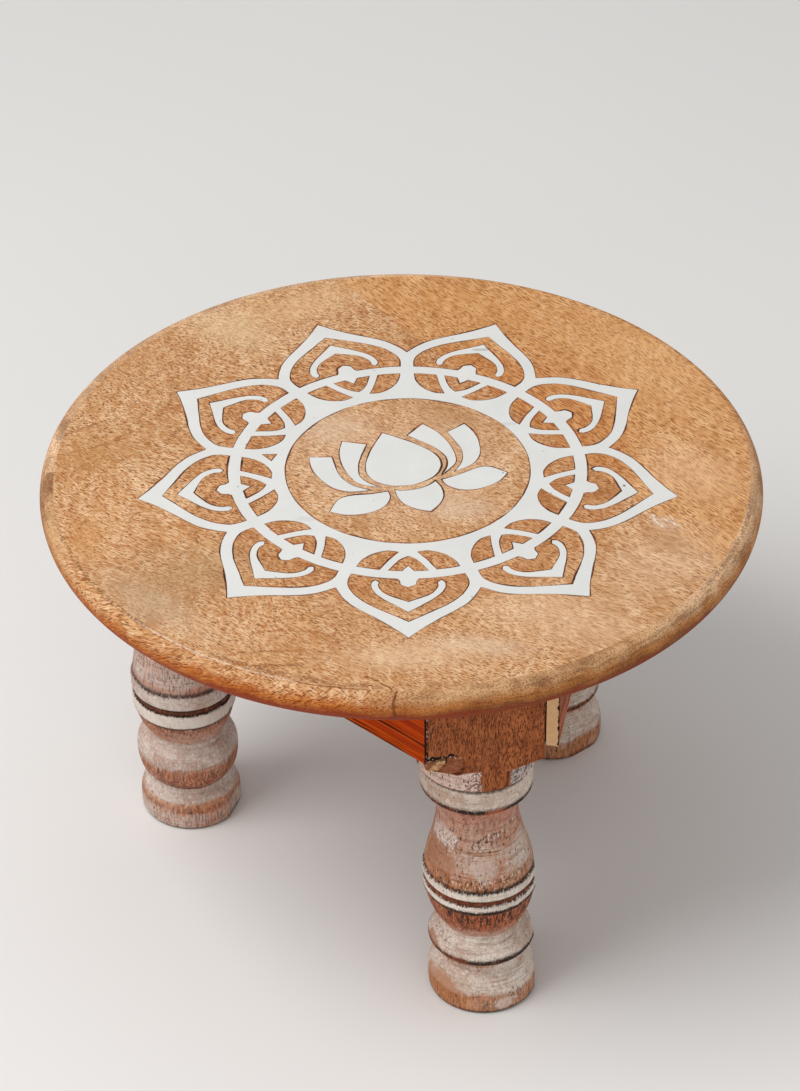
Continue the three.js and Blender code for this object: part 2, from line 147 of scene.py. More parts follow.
def spline(points, steps):
    """Smooth curve through the points, with that many pieces between neighbours"""
    points = [Vector(p) for p in points]
    last = len(points) - 1
    made = []
    for i in range(last):
        before, start = points[max(i - 1, 0)], points[i]
        end, after = points[i + 1], points[min(i + 2, last)]
        leave, arrive = (end - before) / 2, (after - start) / 2
        for k in range(steps):
            t = k / steps
            made.append(
                (2 * start - 2 * end + leave + arrive) * t**3
                + (3 * end - 3 * start - 2 * leave - arrive) * t**2
                + leave * t
                + start
            )
    return made + [points[last]]


def heading(angle):
    return Vector((math.cos(angle), math.sin(angle)))


def right_of(way):
    return Vector((way.y, -way.x))


def sized(points):
    return [Vector(p) * disc_radius for p in points]


def mirrored(points):
    return [Vector((-p.x, p.y)) for p in reversed(points)]


def arc_between(start, end, radius, steps):
    first, last = math.atan2(start.y, start.x), math.atan2(end.y, end.x)
    turns = [first + (last - first) * k / steps for k in range(1, steps)]
    return [heading(a) * radius for a in turns]


def area(loop):
    return sum(a.cross(b) for a, b in zip(loop, loop[1:] + loop[:1])) / 2


def cleaned(loop, least=0.00004):
    """Anticlockwise loop without repeated points"""
    kept = []
    for p in loop:
        if not kept or (p - kept[-1]).length > least:
            kept.append(p)
    if (kept[0] - kept[-1]).length <= least:
        kept.pop()
    return kept if area(kept) > 0 else kept[::-1]


def grown(loop, distance):
    """The loop moved outward by a distance, which may be a function of the point"""
    made = []
    for i, p in enumerate(loop):
        inward = (p - loop[i - 1]).normalized()
        outward = (loop[(i + 1) % len(loop)] - p).normalized()
        first = right_of(inward)
        middle = (first + right_of(outward)).normalized()
        shift = distance(p) if callable(distance) else distance
        made.append(p + middle * shift / max(middle.dot(first), 0.45))
    return made


def placed(loop, angle, shift=0.0):
    """Loop drawn upright, turned so that its up direction points along the angle"""
    up = heading(angle)
    across = right_of(up)
    return cleaned([pattern_shift + across * (p.x + shift) + up * p.y for p in loop])


def ragged(loop, amount, grain):
    """Loop with long pieces divided and its edge unsteady by a small amount"""
    longest = 0.0009
    fine = []
    for a, b in zip(loop, loop[1:] + loop[:1]):
        pieces = max(1, round((b - a).length / longest))
        fine += [a.lerp(b, k / pieces) for k in range(pieces)]
    return grown(fine, lambda p: amount * noise.noise((p.x / grain, p.y / grain, 0.0)))


def drawn(points, steps):
    return spline(sized(points), steps)


def whole(half):
    return half + mirrored(half)


def petal_windows():
    inside, knob = drawn(petal_inside, 6), drawn(bulb, 4)
    half = inside + arc_between(inside[-1], knob[0], ring_outer * disc_radius, 8) + knob
    point = drawn(arch, 5) + sized(bulb_tip)
    edge, back = drawn(scallop, 6), drawn(arch_back, 5)
    lens = edge + back + arc_between(back[-1], edge[0], ring_inner * disc_radius, 8)
    return [whole(half), whole(point), lens, mirrored(lens)]


def chevron_loop():
    outside, inside = drawn(chevron_outside, 6), drawn(chevron_inside, 6)
    end = spline([outside[-1], Vector(chevron_end) * disc_radius, inside[0]], 5)
    return whole(outside + end + inside)


def mandala_loops():
    outline, windows, chevrons = [], [], []
    valley = Vector((math.sin(petal_pitch / 2), math.cos(petal_pitch / 2))) * petal_valley
    outside = drawn([valley] + petal_outside, 7)
    petal = outside + mirrored(outside)[1:-1]
    for i in range(petal_count):
        angle = -math.pi / 2 + i * petal_pitch
        up = heading(angle)
        across = right_of(up)
        outline += [across * p.x + up * p.y for p in petal]
        windows += [placed(w, angle) for w in petal_windows()]
        chevrons.append(placed(chevron_loop(), angle))
    sides = 240
    circle = [heading(math.tau * k / sides) for k in range(sides)]
    windows.append(placed([p * field_radius * disc_radius for p in circle], math.pi / 2))
    notch_angle = -math.pi / 2 + stray_petal * petal_pitch
    windows.append(placed(mirrored(sized(stray_notch)), notch_angle))
    return placed(outline, math.pi / 2), windows, chevrons


def lotus_loops():
    loops = {
        "lotus_heart": whole(drawn(heart, 6)),
        "lotus_foot": whole(drawn(foot_top, 5) + drawn(foot_side, 5)),
    }
    pairs = {
        "inner_petal": drawn(inner_outside, 6) + drawn(inner_inside, 6),
        "outer_petal": drawn(outer_outside, 6) + drawn(outer_inside, 6),
        "leaf": drawn(leaf_top, 6) + drawn(leaf_bottom, 6),
    }
    for name, loop in pairs.items():
        loops[f"lotus_{name}_right"], loops[f"lotus_{name}_left"] = loop, mirrored(loop)
    return {name: placed(loop, lotus_angle, lotus_shift) for name, loop in loops.items()}


# ---------------------------------------------------------------- meshes
@contextmanager
def editing(mesh):
    mend = bmesh.new()
    mend.from_mesh(mesh)
    yield mend
    mend.to_mesh(mesh)
    mend.free()


def band(start, size, up):
    """Faces between a closed row of points and the next one, which begins up places later"""
    ring = [(start + k, start + (k + 1) % size) for k in range(size)]
    return [(a, b, b + up, a + up) for a, b in ring]


def added(name, data):
    thing = bpy.data.objects.new(name, data)
    bpy.context.scene.collection.objects.link(thing)
    return thing


def made(name, verts, faces, smooth=False):
    mesh = bpy.data.meshes.new(name)
    mesh.from_pydata([tuple(v) for v in verts], [], faces)
    mesh.validate()
    piece = added(name, mesh)
    with editing(mesh) as mend:
        bmesh.ops.recalc_face_normals(mend, faces=mend.faces)
    if smooth:
        mesh.shade_smooth()
    return piece


def slab(name, outline, holes, levels, fitted=0):
    """Closed solid of the outline less the holes. Each level is a height and how far the solid grows there.
    The triangles of both ends are fitted to one of the levels."""
    count = len(outline) + sum(len(h) for h in holes)
    verts, faces, stack = [], [], []
    for height, growth in levels:
        less = (lambda p: -growth(p)) if callable(growth) else -growth
        ring = grown(outline, growth) if growth else outline
        stack.append([ring] + [grown(h, less) if growth else h for h in holes])
        verts += [(p.x, p.y, height) for loop in stack[-1] for p in loop]
    for level in range(len(levels) - 1):
        start = level * count
        for loop in [outline] + holes:
            faces += band(start, len(loop), count)
            start += len(loop)
    cap = tessellate_polygon([[p.to_3d() for p in loop] for loop in stack[fitted]])
    for first in (0, (len(levels) - 1) * count):
        faces += [tuple(first + i for i in corners) for corners in cap]
    piece = made(name, verts, faces)
    with editing(piece.data) as mend:
        ends = {face for face in mend.faces if len({v.co.z for v in face.verts}) == 1}
        inner = [edge for edge in mend.edges if ends.issuperset(edge.link_faces)]
        bmesh.ops.beautify_fill(mend, faces=list(ends), edges=inner, method="ANGLE")
    return piece


def lathe(name, profile, sides, lean=None):
    """Solid of revolution about Z from a list of (radius, height), closed at both ends"""
    verts, faces = [], []
    for radius, height in profile:
        off = lean(height) if lean else Vector((0, 0))
        for k in range(sides):
            a = math.tau * k / sides
            verts.append((off.x + radius * math.cos(a), off.y + radius * math.sin(a), height))
    for level in range(len(profile) - 1):
        faces += band(level * sides, sides, sides)
    faces.append(tuple(range(sides)))
    faces.append(tuple(range((len(profile) - 1) * sides, len(profile) * sides)))
    return made(name, verts, faces, smooth=True)


def box(name, low, high, turn=0.0, bevel=0.0):
    verts = [(x, y, z) for z in (low[2], high[2]) for y in (low[1], high[1]) for x in (low[0], high[0])]
    faces = [(0, 1, 3, 2), (4, 5, 7, 6), (0, 1, 5, 4), (2, 3, 7, 6), (0, 2, 6, 4), (1, 3, 7, 5)]
    piece = made(name, [Matrix.Rotation(turn, 4, "Z") @ Vector(v) for v in verts], faces)
    if bevel:
        with editing(piece.data) as mend:
            upright = [e for e in mend.edges if abs(e.verts[0].co.z - e.verts[1].co.z) > 1e-6]
            bmesh.ops.bevel(mend, geom=upright, offset=bevel, segments=2, affect="EDGES")
    return piece


def cut(piece, tool, how="DIFFERENCE"):
    """The piece cut by the tool, as a plain mesh. The tool is used up."""
    work = piece.modifiers.new("cut", "BOOLEAN")
    work.operation, work.object, work.solver = how, tool, "MANIFOLD"
    graph = bpy.context.evaluated_depsgraph_get()
    mesh = bpy.data.meshes.new_from_object(piece.evaluated_get(graph))
    piece.modifiers.clear()
    assert len(mesh.vertices) != len(piece.data.vertices), f"{tool.name} left {piece.name} as it was"
    piece.data = mesh
    bpy.data.objects.remove(tool, do_unlink=True)
    return piece


def creased(piece, degrees):
    """Smooth shading, sharp at edges over the angle and round every level face"""
    piece.data.shade_smooth()
    piece.data.set_sharp_from_angle(angle=math.radians(degrees))
    with editing(piece.data) as mend:
        for edge in mend.edges:
            level = [abs(face.normal.z) > 0.99999 for face in edge.link_faces]
            if any(level) and not all(level):
                edge.smooth = False


def stands_for(piece, node, slot, *materials):
    """The piece takes the node's place, on the one body, in these materials"""
    slots = piece.data.materials
    while len(slots) < len(materials):
        slots.append(None)
    for k, material in enumerate(materials):
        slots[k] = material
    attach(piece, "root")
    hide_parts(node)


# ---------------------------------------------------------------- materials
def tone(red, green, blue):
    """Linear colour of a screen colour given from 0 to 255"""
    def one(value):
        share = value / 255
        return share / 12.92 if share <= 0.04045 else ((share + 0.055) / 1.055) ** 2.4
    return (one(red), one(green), one(blue), 1.0)


class Value:
    """What a node gives. A sign between two values, or a value and a number, makes a math node."""

    def __init__(self, paint, socket):
        self.paint, self.socket = paint, socket

    def __add__(self, other):
        return self.paint.math("ADD", self, other)

    def __sub__(self, other):
        return self.paint.math("SUBTRACT", self, other)

    def __rsub__(self, other):
        return self.paint.math("SUBTRACT", other, self)

    def __mul__(self, other):
        return self.paint.math("MULTIPLY", self, other)

    def __truediv__(self, number):
        return self * (1 / number)

    def __abs__(self):
        return self.paint.math("ABSOLUTE", self)

    def step(self, low, high, end=1.0, start=0.0):
        """Smooth change from start to end as the value goes from low to high; low may be the larger"""
        inputs = (self, low, high, start, end)
        return self.paint.node("ShaderNodeMapRange", inputs, interpolation_type="SMOOTHSTEP")

    def plateau(self, foot, top, end, far):
        """0 up to the foot, 1 between top and end, 0 again beyond far"""
        return self.step(foot, top) * self.step(far, end)


def hypot(a, b):
    return a.paint.math("SQRT", a * a + b * b)


def larger(a, b):
    return a.paint.math("MAXIMUM", a, b)


class Paint:
    """One node material, built up in coats of colour. Inputs are values or plain numbers."""

    def __init__(self, name):
        self.material = bpy.data.materials.new(name)
        self.material.use_nodes = True
        self.tree = self.material.node_tree
        self.shader = self.tree.nodes["Principled BSDF"]
        self.place = self.node("ShaderNodeTexCoord", output="Object")
        self.colour = None

    def feed(self, socket, value):
        """A tuple fed to a colour socket is a screen colour"""
        if isinstance(value, Value):
            self.tree.links.new(value.socket, socket)
        else:
            socket.default_value = tone(*value) if socket.type == "RGBA" else value

    def node(self, kind, inputs=(), output=0, **settings):
        """An output of a new node. The inputs are named, or given from the first on."""
        node = self.tree.nodes.new(kind)
        for key, value in settings.items():
            setattr(node, key, value)
        for key, value in inputs.items() if isinstance(inputs, dict) else enumerate(inputs):
            self.feed(node.inputs[key], value)
        return Value(self, node.outputs[output])

    def outputs(self, value):
        return [Value(self, socket) for socket in value.socket.node.outputs]

    def math(self, operation, first, second=0.0):
        return self.node("ShaderNodeMath", (first, second), operation=operation)

    def vector(self, operation, first, second, output="Vector"):
        return self.node("ShaderNodeVectorMath", (first, second), output, operation=operation)

    def along_aside(self, place, way, length=1.0, width=1.0):
        """How far the place lies along the direction and to its left, in lengths and widths"""
        axes = (way.x / length, way.y / length, 0), (-way.y / width, way.x / width, 0)
        return [self.vector("DOT_PRODUCT", place, axis, "Value") for axis in axes]

    def shifted(self, place, by):
        return self.vector("ADD", place, by)

    def scaled(self, place, by):
        return self.vector("MULTIPLY", place, by)

    def joined(self, x, y, z):
        return self.node("ShaderNodeCombineXYZ", (x, y, z))

    def parts(self, vector):
        return self.outputs(self.node("ShaderNodeSeparateXYZ", [vector]))

    def noise(self, place, scale=1.0, detail=2.0, rough=0.5, twist=0.0, output="Fac"):
        if isinstance(scale, tuple):
            place, scale = self.scaled(place, scale), 1.0
        inputs = {"Vector": place, "Scale": scale, "Detail": detail, "Roughness": rough, "Distortion": twist}
        return self.node("ShaderNodeTexNoise", inputs, output)

    def wander(self, place, scale, detail, reach):
        """Shift of the place by noise, at most half the reach each way"""
        drift = self.noise(place, scale, detail, output="Color")
        return self.scaled(self.shifted(drift, (-0.5,) * 3), (reach,) * 3)

    def cells(self, place, scale=1.0):
        """Distance to the nearest scattered point, and a chance value of that point"""
        near, chance = self.outputs(self.node("ShaderNodeTexVoronoi", {"Vector": place, "Scale": scale}))[:2]
        return near, self.parts(chance)[0]

    def specks(self, place, sizes, kept, scale=1.0):
        """Scattered dots that fade in over the sizes; kept is the range of chance that shows"""
        distance, chance = self.cells(place, scale)
        return distance.step(*sizes) * chance.step(*kept)

    def ramp(self, value, stops):
        """Stops are thousandths of the value, each with a screen colour or a strength in hundredths"""
        ramp = self.node("ShaderNodeValToRGB", [value])
        steps = ramp.socket.node.color_ramp.elements
        while len(steps) < len(stops):
            steps.new(1.0)
        for step, (at, colour) in zip(steps, stops):
            step.position = at / 1000
            step.color = tone(*colour) if isinstance(colour, tuple) else (colour / 100,) * 3 + (1.0,)
        return ramp

    def mix(self, share, first, second, blend="MIX"):
        inputs = {"Factor": share, 6: first, 7: second}
        return self.node("ShaderNodeMix", inputs, 2, data_type="RGBA", blend_type=blend, clamp_factor=True)

    def coat(self, share, colour, blend="MIX"):
        self.colour = self.mix(share, self.colour, colour, blend)

    def coats(self, value, *layers, within=None):
        """Coats that come in as the value goes from one level to another, up to a share"""
        for low, high, share, colour in layers:
            amount = value.step(low, high, share)
            self.coat(within * amount if within else amount, colour)

    def bump(self, height, distance, strength=1.0):
        bumped = self.node("ShaderNodeBump", {"Height": height, "Distance": distance, "Strength": strength})
        self.feed(self.shader.inputs["Normal"], bumped)

    def finish(self, rough, specular=0.5):
        for key, value in (("Base Color", self.colour), ("Roughness", rough), ("Specular IOR Level", specular)):
            self.feed(self.shader.inputs[key], value)
        return self.material


def fibres(p, place, azimuth, rise=0.0, turn=0.0):
    """Distances along the fibres and twice across. Fibres climb by rise, and further on by rise and turn."""
    s, c = p.along_aside(place, heading(math.radians(azimuth)))
    on = s + disc_radius
    level_run = 0.06
    arc = p.math("SQRT", on * on + level_run**2) - level_run
    climb = on * rise + arc * turn
    return s, c, p.parts(place)[2] - climb


def stretched(p, axes, length, width):
    s, c, u = axes
    return p.joined(s / length, c / width, u / width)


def pores(p, axes, length, width, size, kept):
    return p.specks(stretched(p, axes, length, width), (size, size * 0.5), kept)


def board_wood(name, tones, azimuth, rise, turn, seed, figured):
    """Open-pored plain wood. Pores show as dashes where the fibres lie flat and as dots where they climb."""
    p = Paint(name)
    light, middle, deep, dash, pore = tones
    start = p.shifted(p.place, (seed * 0.37, seed * 0.21, 0))
    wide = p.wander(start, 14, 1, 0.011)
    small = p.wander(start, 150, 2, 0.0013)
    place = p.shifted(p.shifted(p.place, wide), small)
    axes = fibres(p, p.shifted(place, (0, 0, seed * 0.13)), azimuth, rise, turn)

    along, aside, up = axes
    growth = p.noise(p.joined(along * 6, aside * 16, up * 260), 1, 3, 0.55)
    figure = p.noise(stretched(p, axes, 0.05, 0.006), 1, 3, 0.55, 0.4)
    patch = p.noise(start, 45, 4, 0.6)
    body = figure * 0.4 + (growth * 0.3 + patch * 0.3)
    ripple_on, ripple_by = along + aside * 0.8, aside - along * 0.8
    ripple = p.noise(p.joined(ripple_on * 190, ripple_by * 42, 0.0), 1, 2, 0.5, 0.6)
    silk = p.noise(stretched(p, axes, 0.011, 0.0011), 1, 3, 0.6, 0.3)
    strands = p.noise(stretched(p, axes, 0.016, 0.0007), 1, 3, 0.65)
    fine = p.noise(stretched(p, axes, 0.005, 0.0004), 1, 2, 0.6)
    to_right = p.parts(p.place)[0].step(-0.05, 0.03)
    strong = to_right.step(0.0, 1.0, 0.7, 1.0) * figured
    p.colour = p.mix(body.step(0.5, 0.36), middle, deep)
    p.coat(body.step(0.5, 0.62, 0.8), light)
    p.coats(ripple, (0.5, 0.66, 0.55, light), (0.48, 0.34, 0.4, deep))
    p.coats(strands, (0.48, 0.64, 0.6, deep), (0.45, 0.34, 0.45, light), within=strong)
    p.coats(silk, (0.52, 0.66, 0.6, light), (0.47, 0.34, 0.65, deep), within=strong)
    p.coat(fine.step(0.5, 0.6, 0.75), dash)

    crowd = (patch * 0.5 + silk * 0.5).step(0.4, 0.52, 1.0, 0.5)
    dashes = pores(p, axes, 0.0052, 0.00072, 0.4, (0.0, 0.25))
    specks = pores(p, axes, 0.0042, 0.00074, 0.38, (0.35, 0.6)) * crowd
    p.coat(dashes * 0.95, dash)
    p.coat(specks * 0.95, p.mix(to_right * 0.55, pore, dash))
    height = fine * 0.35 + larger(dashes, specks) * -0.9
    board_marks(p, azimuth)
    p.bump(height, 0.0002, 0.5)
    return p.finish(fine.step(0.3, 0.7, 0.68, 0.54), 0.13)


def blot(p, centre, length, width, angle, soft):
    """1 in an oval on the top, 0 outside, its edge broken by the soft noise. Sizes are shares of the radius."""
    off = p.shifted(p.place, (-centre[0] * disc_radius, -centre[1] * disc_radius, 0))
    way = heading(math.radians(angle))
    run, side = p.along_aside(off, way, length * disc_radius, width * disc_radius)
    return (hypot(run, side) + soft - 0.5).step(1.3, 0.1)


def streak(p, start, end, bow, width, soft):
    """1 on a bowed line on the top, 0 beside it. Its ends and bow are shares of the disc's radius."""
    start, end = Vector(start) * disc_radius, Vector(end) * disc_radius
    length = (end - start).length
    run = (end - start) / length
    off = p.shifted(p.place, (-start.x, -start.y, 0))
    on, aside = p.along_aside(off, run, length)
    arch = on * (1.0 - on) * (4 * bow * disc_radius)
    away = abs(aside - arch + (soft - 0.5) * 0.004)
    return away.step(width, width * 0.3) * on.plateau(0.0, 0.08, 0.85, 1.0)


def board_marks(p, azimuth):
    """Stain and end grain on the rim, which grows darker and redder towards its underside, partly from stain
    and partly as painted shade and a painted red reflection. Burn marks and painted shade along the pattern,
    and marks of age and use on the top, one pale line along its edge partly a painted highlight
    """
    x, y, z = p.parts(p.place)
    soft = p.noise(p.place, 130, 3)
    cloud = p.noise(p.place, 38, 4, 0.65)
    crisp = p.noise(p.place, 900, 2, 0.7)
    radius = hypot(x, y)
    angle = p.math("ARCTAN2", y, x)
    a = math.radians(azimuth)
    facing = abs(x * (math.cos(a) / disc_radius) + y * (math.sin(a) / disc_radius))
    wider = facing.step(0.5, 0.9) * (0.011 * disc_radius)
    on_top = (radius + wider).step(0.972 * disc_radius, 0.966 * disc_radius)
    rim = 1.0 - on_top

    for centre, length, width, turn, share, shade in top_blots:
        spot = blot(p, centre, length, width, turn, cloud) * on_top
        p.coat(spot * share, p.mix(0.75, p.colour, shade))
    off = p.shifted(p.place, (-pattern_shift.x, -pattern_shift.y, 0))
    reach = hypot(*p.parts(off)[:2])
    ring = [share * disc_radius for share in (field_radius, field_radius + 0.03, petal_valley, 0.66)]
    p.coat(reach.plateau(*ring) * 0.6, (232, 206, 178), "MULTIPLY")
    for start, end, bow, width, share, shade in top_streaks:
        line = streak(p, start, end, bow, width, soft) * crisp.step(0.4, 0.54, 1.0, 0.2)
        p.coat(line * share, shade)

    end_share = rim * facing.step(0.4, 0.75)
    side_share = rim * facing.step(0.65, 0.4)
    far_right = angle.step(-0.9, -0.6)
    end_deep = p.mix(far_right, (168, 121, 82), (211, 167, 128))
    end_light = p.mix(far_right, (213, 169, 122), (242, 202, 162))
    end_tone = p.mix(cloud.step(0.4, 0.6), end_deep, end_light)
    p.coat(end_share * 0.85, end_tone)
    run = angle * disc_radius
    years = p.noise(p.joined(run * 70, 0.0, (z + soft * 0.002) * 620), 1, 3, 0.6)
    p.coat(end_share * years.step(0.48, 0.62, 0.42), (116, 76, 48))
    slant_on, slant_by = run + z * 0.7, z - run * 0.7
    strokes = p.noise(p.joined(slant_on * 200, 0.0, slant_by * 1300), 1, 3, 0.6)
    p.coats(strokes, (0.52, 0.64, 0.6, (150, 92, 46)), (0.44, 0.3, 0.6, (240, 200, 148)), within=side_share)
    nicks = p.specks(p.joined(slant_on / 0.009, 0.0, slant_by / 0.0014), (0.3, 0.12), (0.25, 0.5))
    p.coat(side_share * (nicks * 0.9), (140, 78, 36))

    # Painted shade and painted red reflection mixed with stain: the rim turns darker and redder towards its
    # underside
    higher = angle.step(-2.0, -2.35, 0.0016)
    below = table_height - (z + higher + (soft - 0.5) * 0.006)
    upper_rim_stain_and_shade = p.mix(side_share, (230, 190, 142), (231, 176, 114))
    p.coat(below.step(0.0003, 0.005), upper_rim_stain_and_shade, "MULTIPLY")
    lower_rim_stain_shade_and_red = p.mix(crisp.step(0.4, 0.6), (128, 46, 10), (166, 74, 24))
    lower_rim_stain_shade_and_red = p.mix(end_share * angle.step(-1.62, -1.3), lower_rim_stain_shade_and_red, (124, 68, 36))
    p.coat(below.step(0.0043, 0.0091, 0.94), lower_rim_stain_shade_and_red)
    p.coat(below.step(0.0066, 0.009, 0.75), (142, 54, 16))
    dots = p.specks(p.place, (0.5, 0.26), (0.0, 0.15), 1600)
    p.coat(dots * end_share * 0.85, p.mix(0.7, p.colour, (84, 42, 18)))

    # Burn marks and painted shade: the pocket walls and the sunk worn edge of the wood round the pattern turn
    # dark brown
    inside = radius.step(0.85 * disc_radius, 0.8 * disc_radius)
    sunk = (table_height - z).step(0.00001, 0.0001)
    pocket_burn_and_shade = p.mix(soft.step(0.42, 0.56), (154, 84, 44), (74, 34, 16))
    p.coat(inside * sunk * 0.95, pocket_burn_and_shade)

    drift = (soft - 0.5) * 0.0012
    off_edge = abs(radius + drift - 0.969 * disc_radius)
    thin, thick = off_edge.step(0.0004, 0.00012), off_edge.step(0.0011, 0.0004)
    smear = abs(radius + drift - 0.952 * disc_radius).step(0.0022, 0.0005) * crisp.step(0.42, 0.52)
    for line, start, end, share, shade in (
        (smear, -2.15, -1.6, 0.6, (132, 82, 50)),
        (smear, -1.6, -1.3, 0.35, (140, 88, 54)),
        # Pale line along the front-left edge of the flat top: partly pale wear, partly a painted highlight
        (thin * crisp.step(0.36, 0.5), -2.43, -1.84, 0.62, (230, 216, 206)),
        (thick * crisp.step(0.5, 0.56), -2.9, -2.3, 0.75, (112, 72, 44)),
        (thin, -1.9, -1.62, 0.75, (128, 76, 44)),
        (thick * crisp.step(0.44, 0.5), -0.62, -0.1, 0.45, (84, 58, 42)),
    ):
        part = angle.plateau(start, start + 0.06, end - 0.06, end)
        p.coat(line * part * share, shade)
    off_split = abs(angle + 1.592 + (soft - 0.5) * 0.05)
    p.coat(off_split.step(0.0045, 0.0018) * rim * 0.8, (108, 58, 30))


def bare_wood(name, light, deep, pore, seed, strays=False):
    """Upright bare wood with dense short pores. Some of the paint of the turning can stray on its front."""
    p = Paint(name)
    start = p.shifted(p.place, (seed * 0.37, seed * 0.21, seed * 0.13))
    warp = p.wander(start, 75, 2, 0.0035)
    x, y, z = p.parts(p.shifted(start, warp))
    axes = (z, x, y)
    patch = p.noise(start, 130, 4, 0.65)
    streak = p.noise(stretched(p, axes, 0.009, 0.0012), 1, 3, 0.65)
    fine = p.noise(stretched(p, axes, 0.003, 0.00036), 1, 2, 0.6)
    p.colour = p.mix((patch * 0.5 + streak * 0.5).step(0.38, 0.62), deep, light)
    p.coats(fine, (0.46, 0.66, 0.75, pore), (0.44, 0.3, 0.5, light))
    small_pores = pores(p, axes, 0.0021, 0.0005, 0.44, (0.0, 0.35))
    p.coat(small_pores * 0.85, pore)
    height = fine * 0.4 + small_pores * -0.8
    if strays:
        stray_paint(p, patch, fine)
    p.bump(height, 0.0002, 0.7)
    return p.finish(fine.step(0.3, 0.7, 0.72, 0.6), 0.12)


def cracks(p, y, z):
    """Cracks in the paint under the front face, closer together towards its lower right"""
    crazed = abs(p.noise(p.place, 480, 2, 0.6) - 0.5)
    near = (y + (0.1085 - z) * 0.7).step(-0.0095, -0.003)
    return (crazed - near * 0.03).step(0.018, 0.005, 0.8)


def stray_paint(p, patch, fine):
    """Paint over the lower left of the front face, and chips of it along the left edge"""
    x, y, z = p.parts(p.place)
    front = p.math("GREATER_THAN", x, 0.9 * stock_half)
    sway = (patch - 0.5) * 0.007
    low = (z + sway * 0.3).step(0.957 * turned_height, 0.952 * turned_height)
    left = (y + sway).step(-0.0012, -0.002)
    painted = front * (low * left)
    under, p.colour = p.colour, p.mix(patch.step(0.42, 0.6), (234, 210, 198), (190, 140, 116))
    p.coat(fine.step(0.52, 0.64, 0.4), (140, 92, 70))
    p.coat(cracks(p, y, z), (84, 44, 26))
    p.colour = p.mix(painted * 0.95, under, p.colour)
    edge = (y + sway * 0.2).step(0.0008 - stock_half, 0.0002 - stock_half)
    chips = p.noise(p.place, 900, 2, 0.6)
    p.coats(chips, (0.58, 0.63, 1.0, (216, 200, 190)), (0.46, 0.4, 1.0, (24, 14, 10)), within=edge)


def torn_wood(name, light, deep, shadow):
    """Raw fibres where a corner broke away, with painted shadow under the broken edge and at the hollow's lower
    left, and a dark notch
    """
    p = Paint(name)
    y, z = p.parts(p.place)[1:]
    shreds = p.noise(p.place, (700, 600, 1000), 4, 0.7)
    p.colour = p.mix(shreds.step(0.36, 0.62), deep, light)
    ragged_z = z + (shreds - 0.5) * 0.003
    brow = (ragged_z + y.step(-0.014, -0.018, 0.0009)).step(0.1192, 0.12)
    under = ragged_z.step(0.1146, 0.1132) * y.step(-0.0145, -0.0165)
    notch = abs(y + 0.0135 + (shreds - 0.5) * 0.001).step(0.0005, 0.0002)
    # Painted shadow under the broken brow and at the hollow's lower left, with a dark notch line
    torn_shadow_and_notch = larger(larger(brow, under), notch * z.step(0.1166, 0.1174))
    p.coat(torn_shadow_and_notch * shadow, (34, 20, 14))
    crumbs = p.noise(p.place, 1100, 1).step(0.62, 0.66) * z.step(0.1182, 0.1186)
    p.coat(crumbs * shadow, (210, 190, 176))
    p.bump(shreds, 0.0005, 1.0)
    return p.finish(shreds.step(0.3, 0.7, 0.85, 0.7), 0.1)


# ---------------------------------------------------------------- camera, floor and light
camera_data = bpy.data.cameras.new("view_camera")
camera_data.lens = 155.04
camera_data.sensor_width = 36
camera = added("view_camera", camera_data)
camera_pitch, camera_yaw, camera_roll = 0.64746, -0.000427, 0.004755
turn = (
    Matrix.Rotation(-camera_yaw, 4, "Z")
    @ Matrix.Rotation(math.pi / 2 - camera_pitch, 4, "X")
    @ Matrix.Rotation(-camera_roll, 4, "Z")
)
camera.matrix_world = Matrix.Translation((0, -1.3312, 1.13974)) @ turn
bpy.context.scene.camera = camera

floor = made("floor", [(-4, -4, 0), (4, -4, 0), (4, 4, 0), (-4, 4, 0)], [(0, 1, 2, 3)])
ground = Paint("floor_paper")
ground.colour = ground.mix(ground.noise(ground.place, 3, 3), (232, 230, 227), (238, 236, 233))
floor.data.materials.append(ground.finish(0.9))


def lamp(name, energy, size, place, aim):
    light = bpy.data.lights.new(name, "AREA")
    light.energy, light.size = energy, size
    holder = added(name, light)
    holder.location = place
    holder.rotation_euler = (Vector(aim) - Vector(place)).to_track_quat("-Z", "Y").to_euler()


lamp("key", 15, 0.9, (-0.75, -0.35, 1.35), (0, 0, 0.1))
lamp("front_fill", 2.6, 1.2, (0.3, -1.6, 0.9), (0, 0, 0.1))
world = bpy.data.worlds.new("studio")
world.use_nodes = True
world.node_tree.nodes["Background"].inputs["Color"].default_value = (1, 1, 1, 1)
world.node_tree.nodes["Background"].inputs["Strength"].default_value = 0.5
bpy.context.scene.world = world
bpy.context.scene.view_settings.view_transform = "Standard"

# ---------------------------------------------------------------- top boards and inlay
outline, windows, chevrons = mandala_loops()
edge_wobble, edge_grain = 0.00009, 0.0013
outline = ragged(outline, edge_wobble, edge_grain)
windows = [ragged(w, edge_wobble, edge_grain) for w in windows]
islands = {f"chevron_inlay_{i + 1}": loop for i, loop in enumerate(chevrons)}
islands.update(lotus_loops())
islands = {name: ragged(loop, edge_wobble, edge_grain) for name, loop in islands.items()}

pocket_floor = table_height - inlay_depth
ease = 0.00012


def eased(p):
    """Width of the worn edge of the wood along a pocket"""
    return max(0.0003 + 0.0008 * noise.noise((p.x * 110, p.y * 110, 9.0)), 0.00006)


pocket_levels = [
    (pocket_floor, 0),
    (table_height - 0.0003, 0),
    (table_height, eased),
    (table_height + ease, eased),
]
inlay_levels = [
    (pocket_floor, 0), (table_height - 0.00022, 0), (table_height - 0.00008, -0.00003),
    (table_height - 0.00002, -0.00011),
]


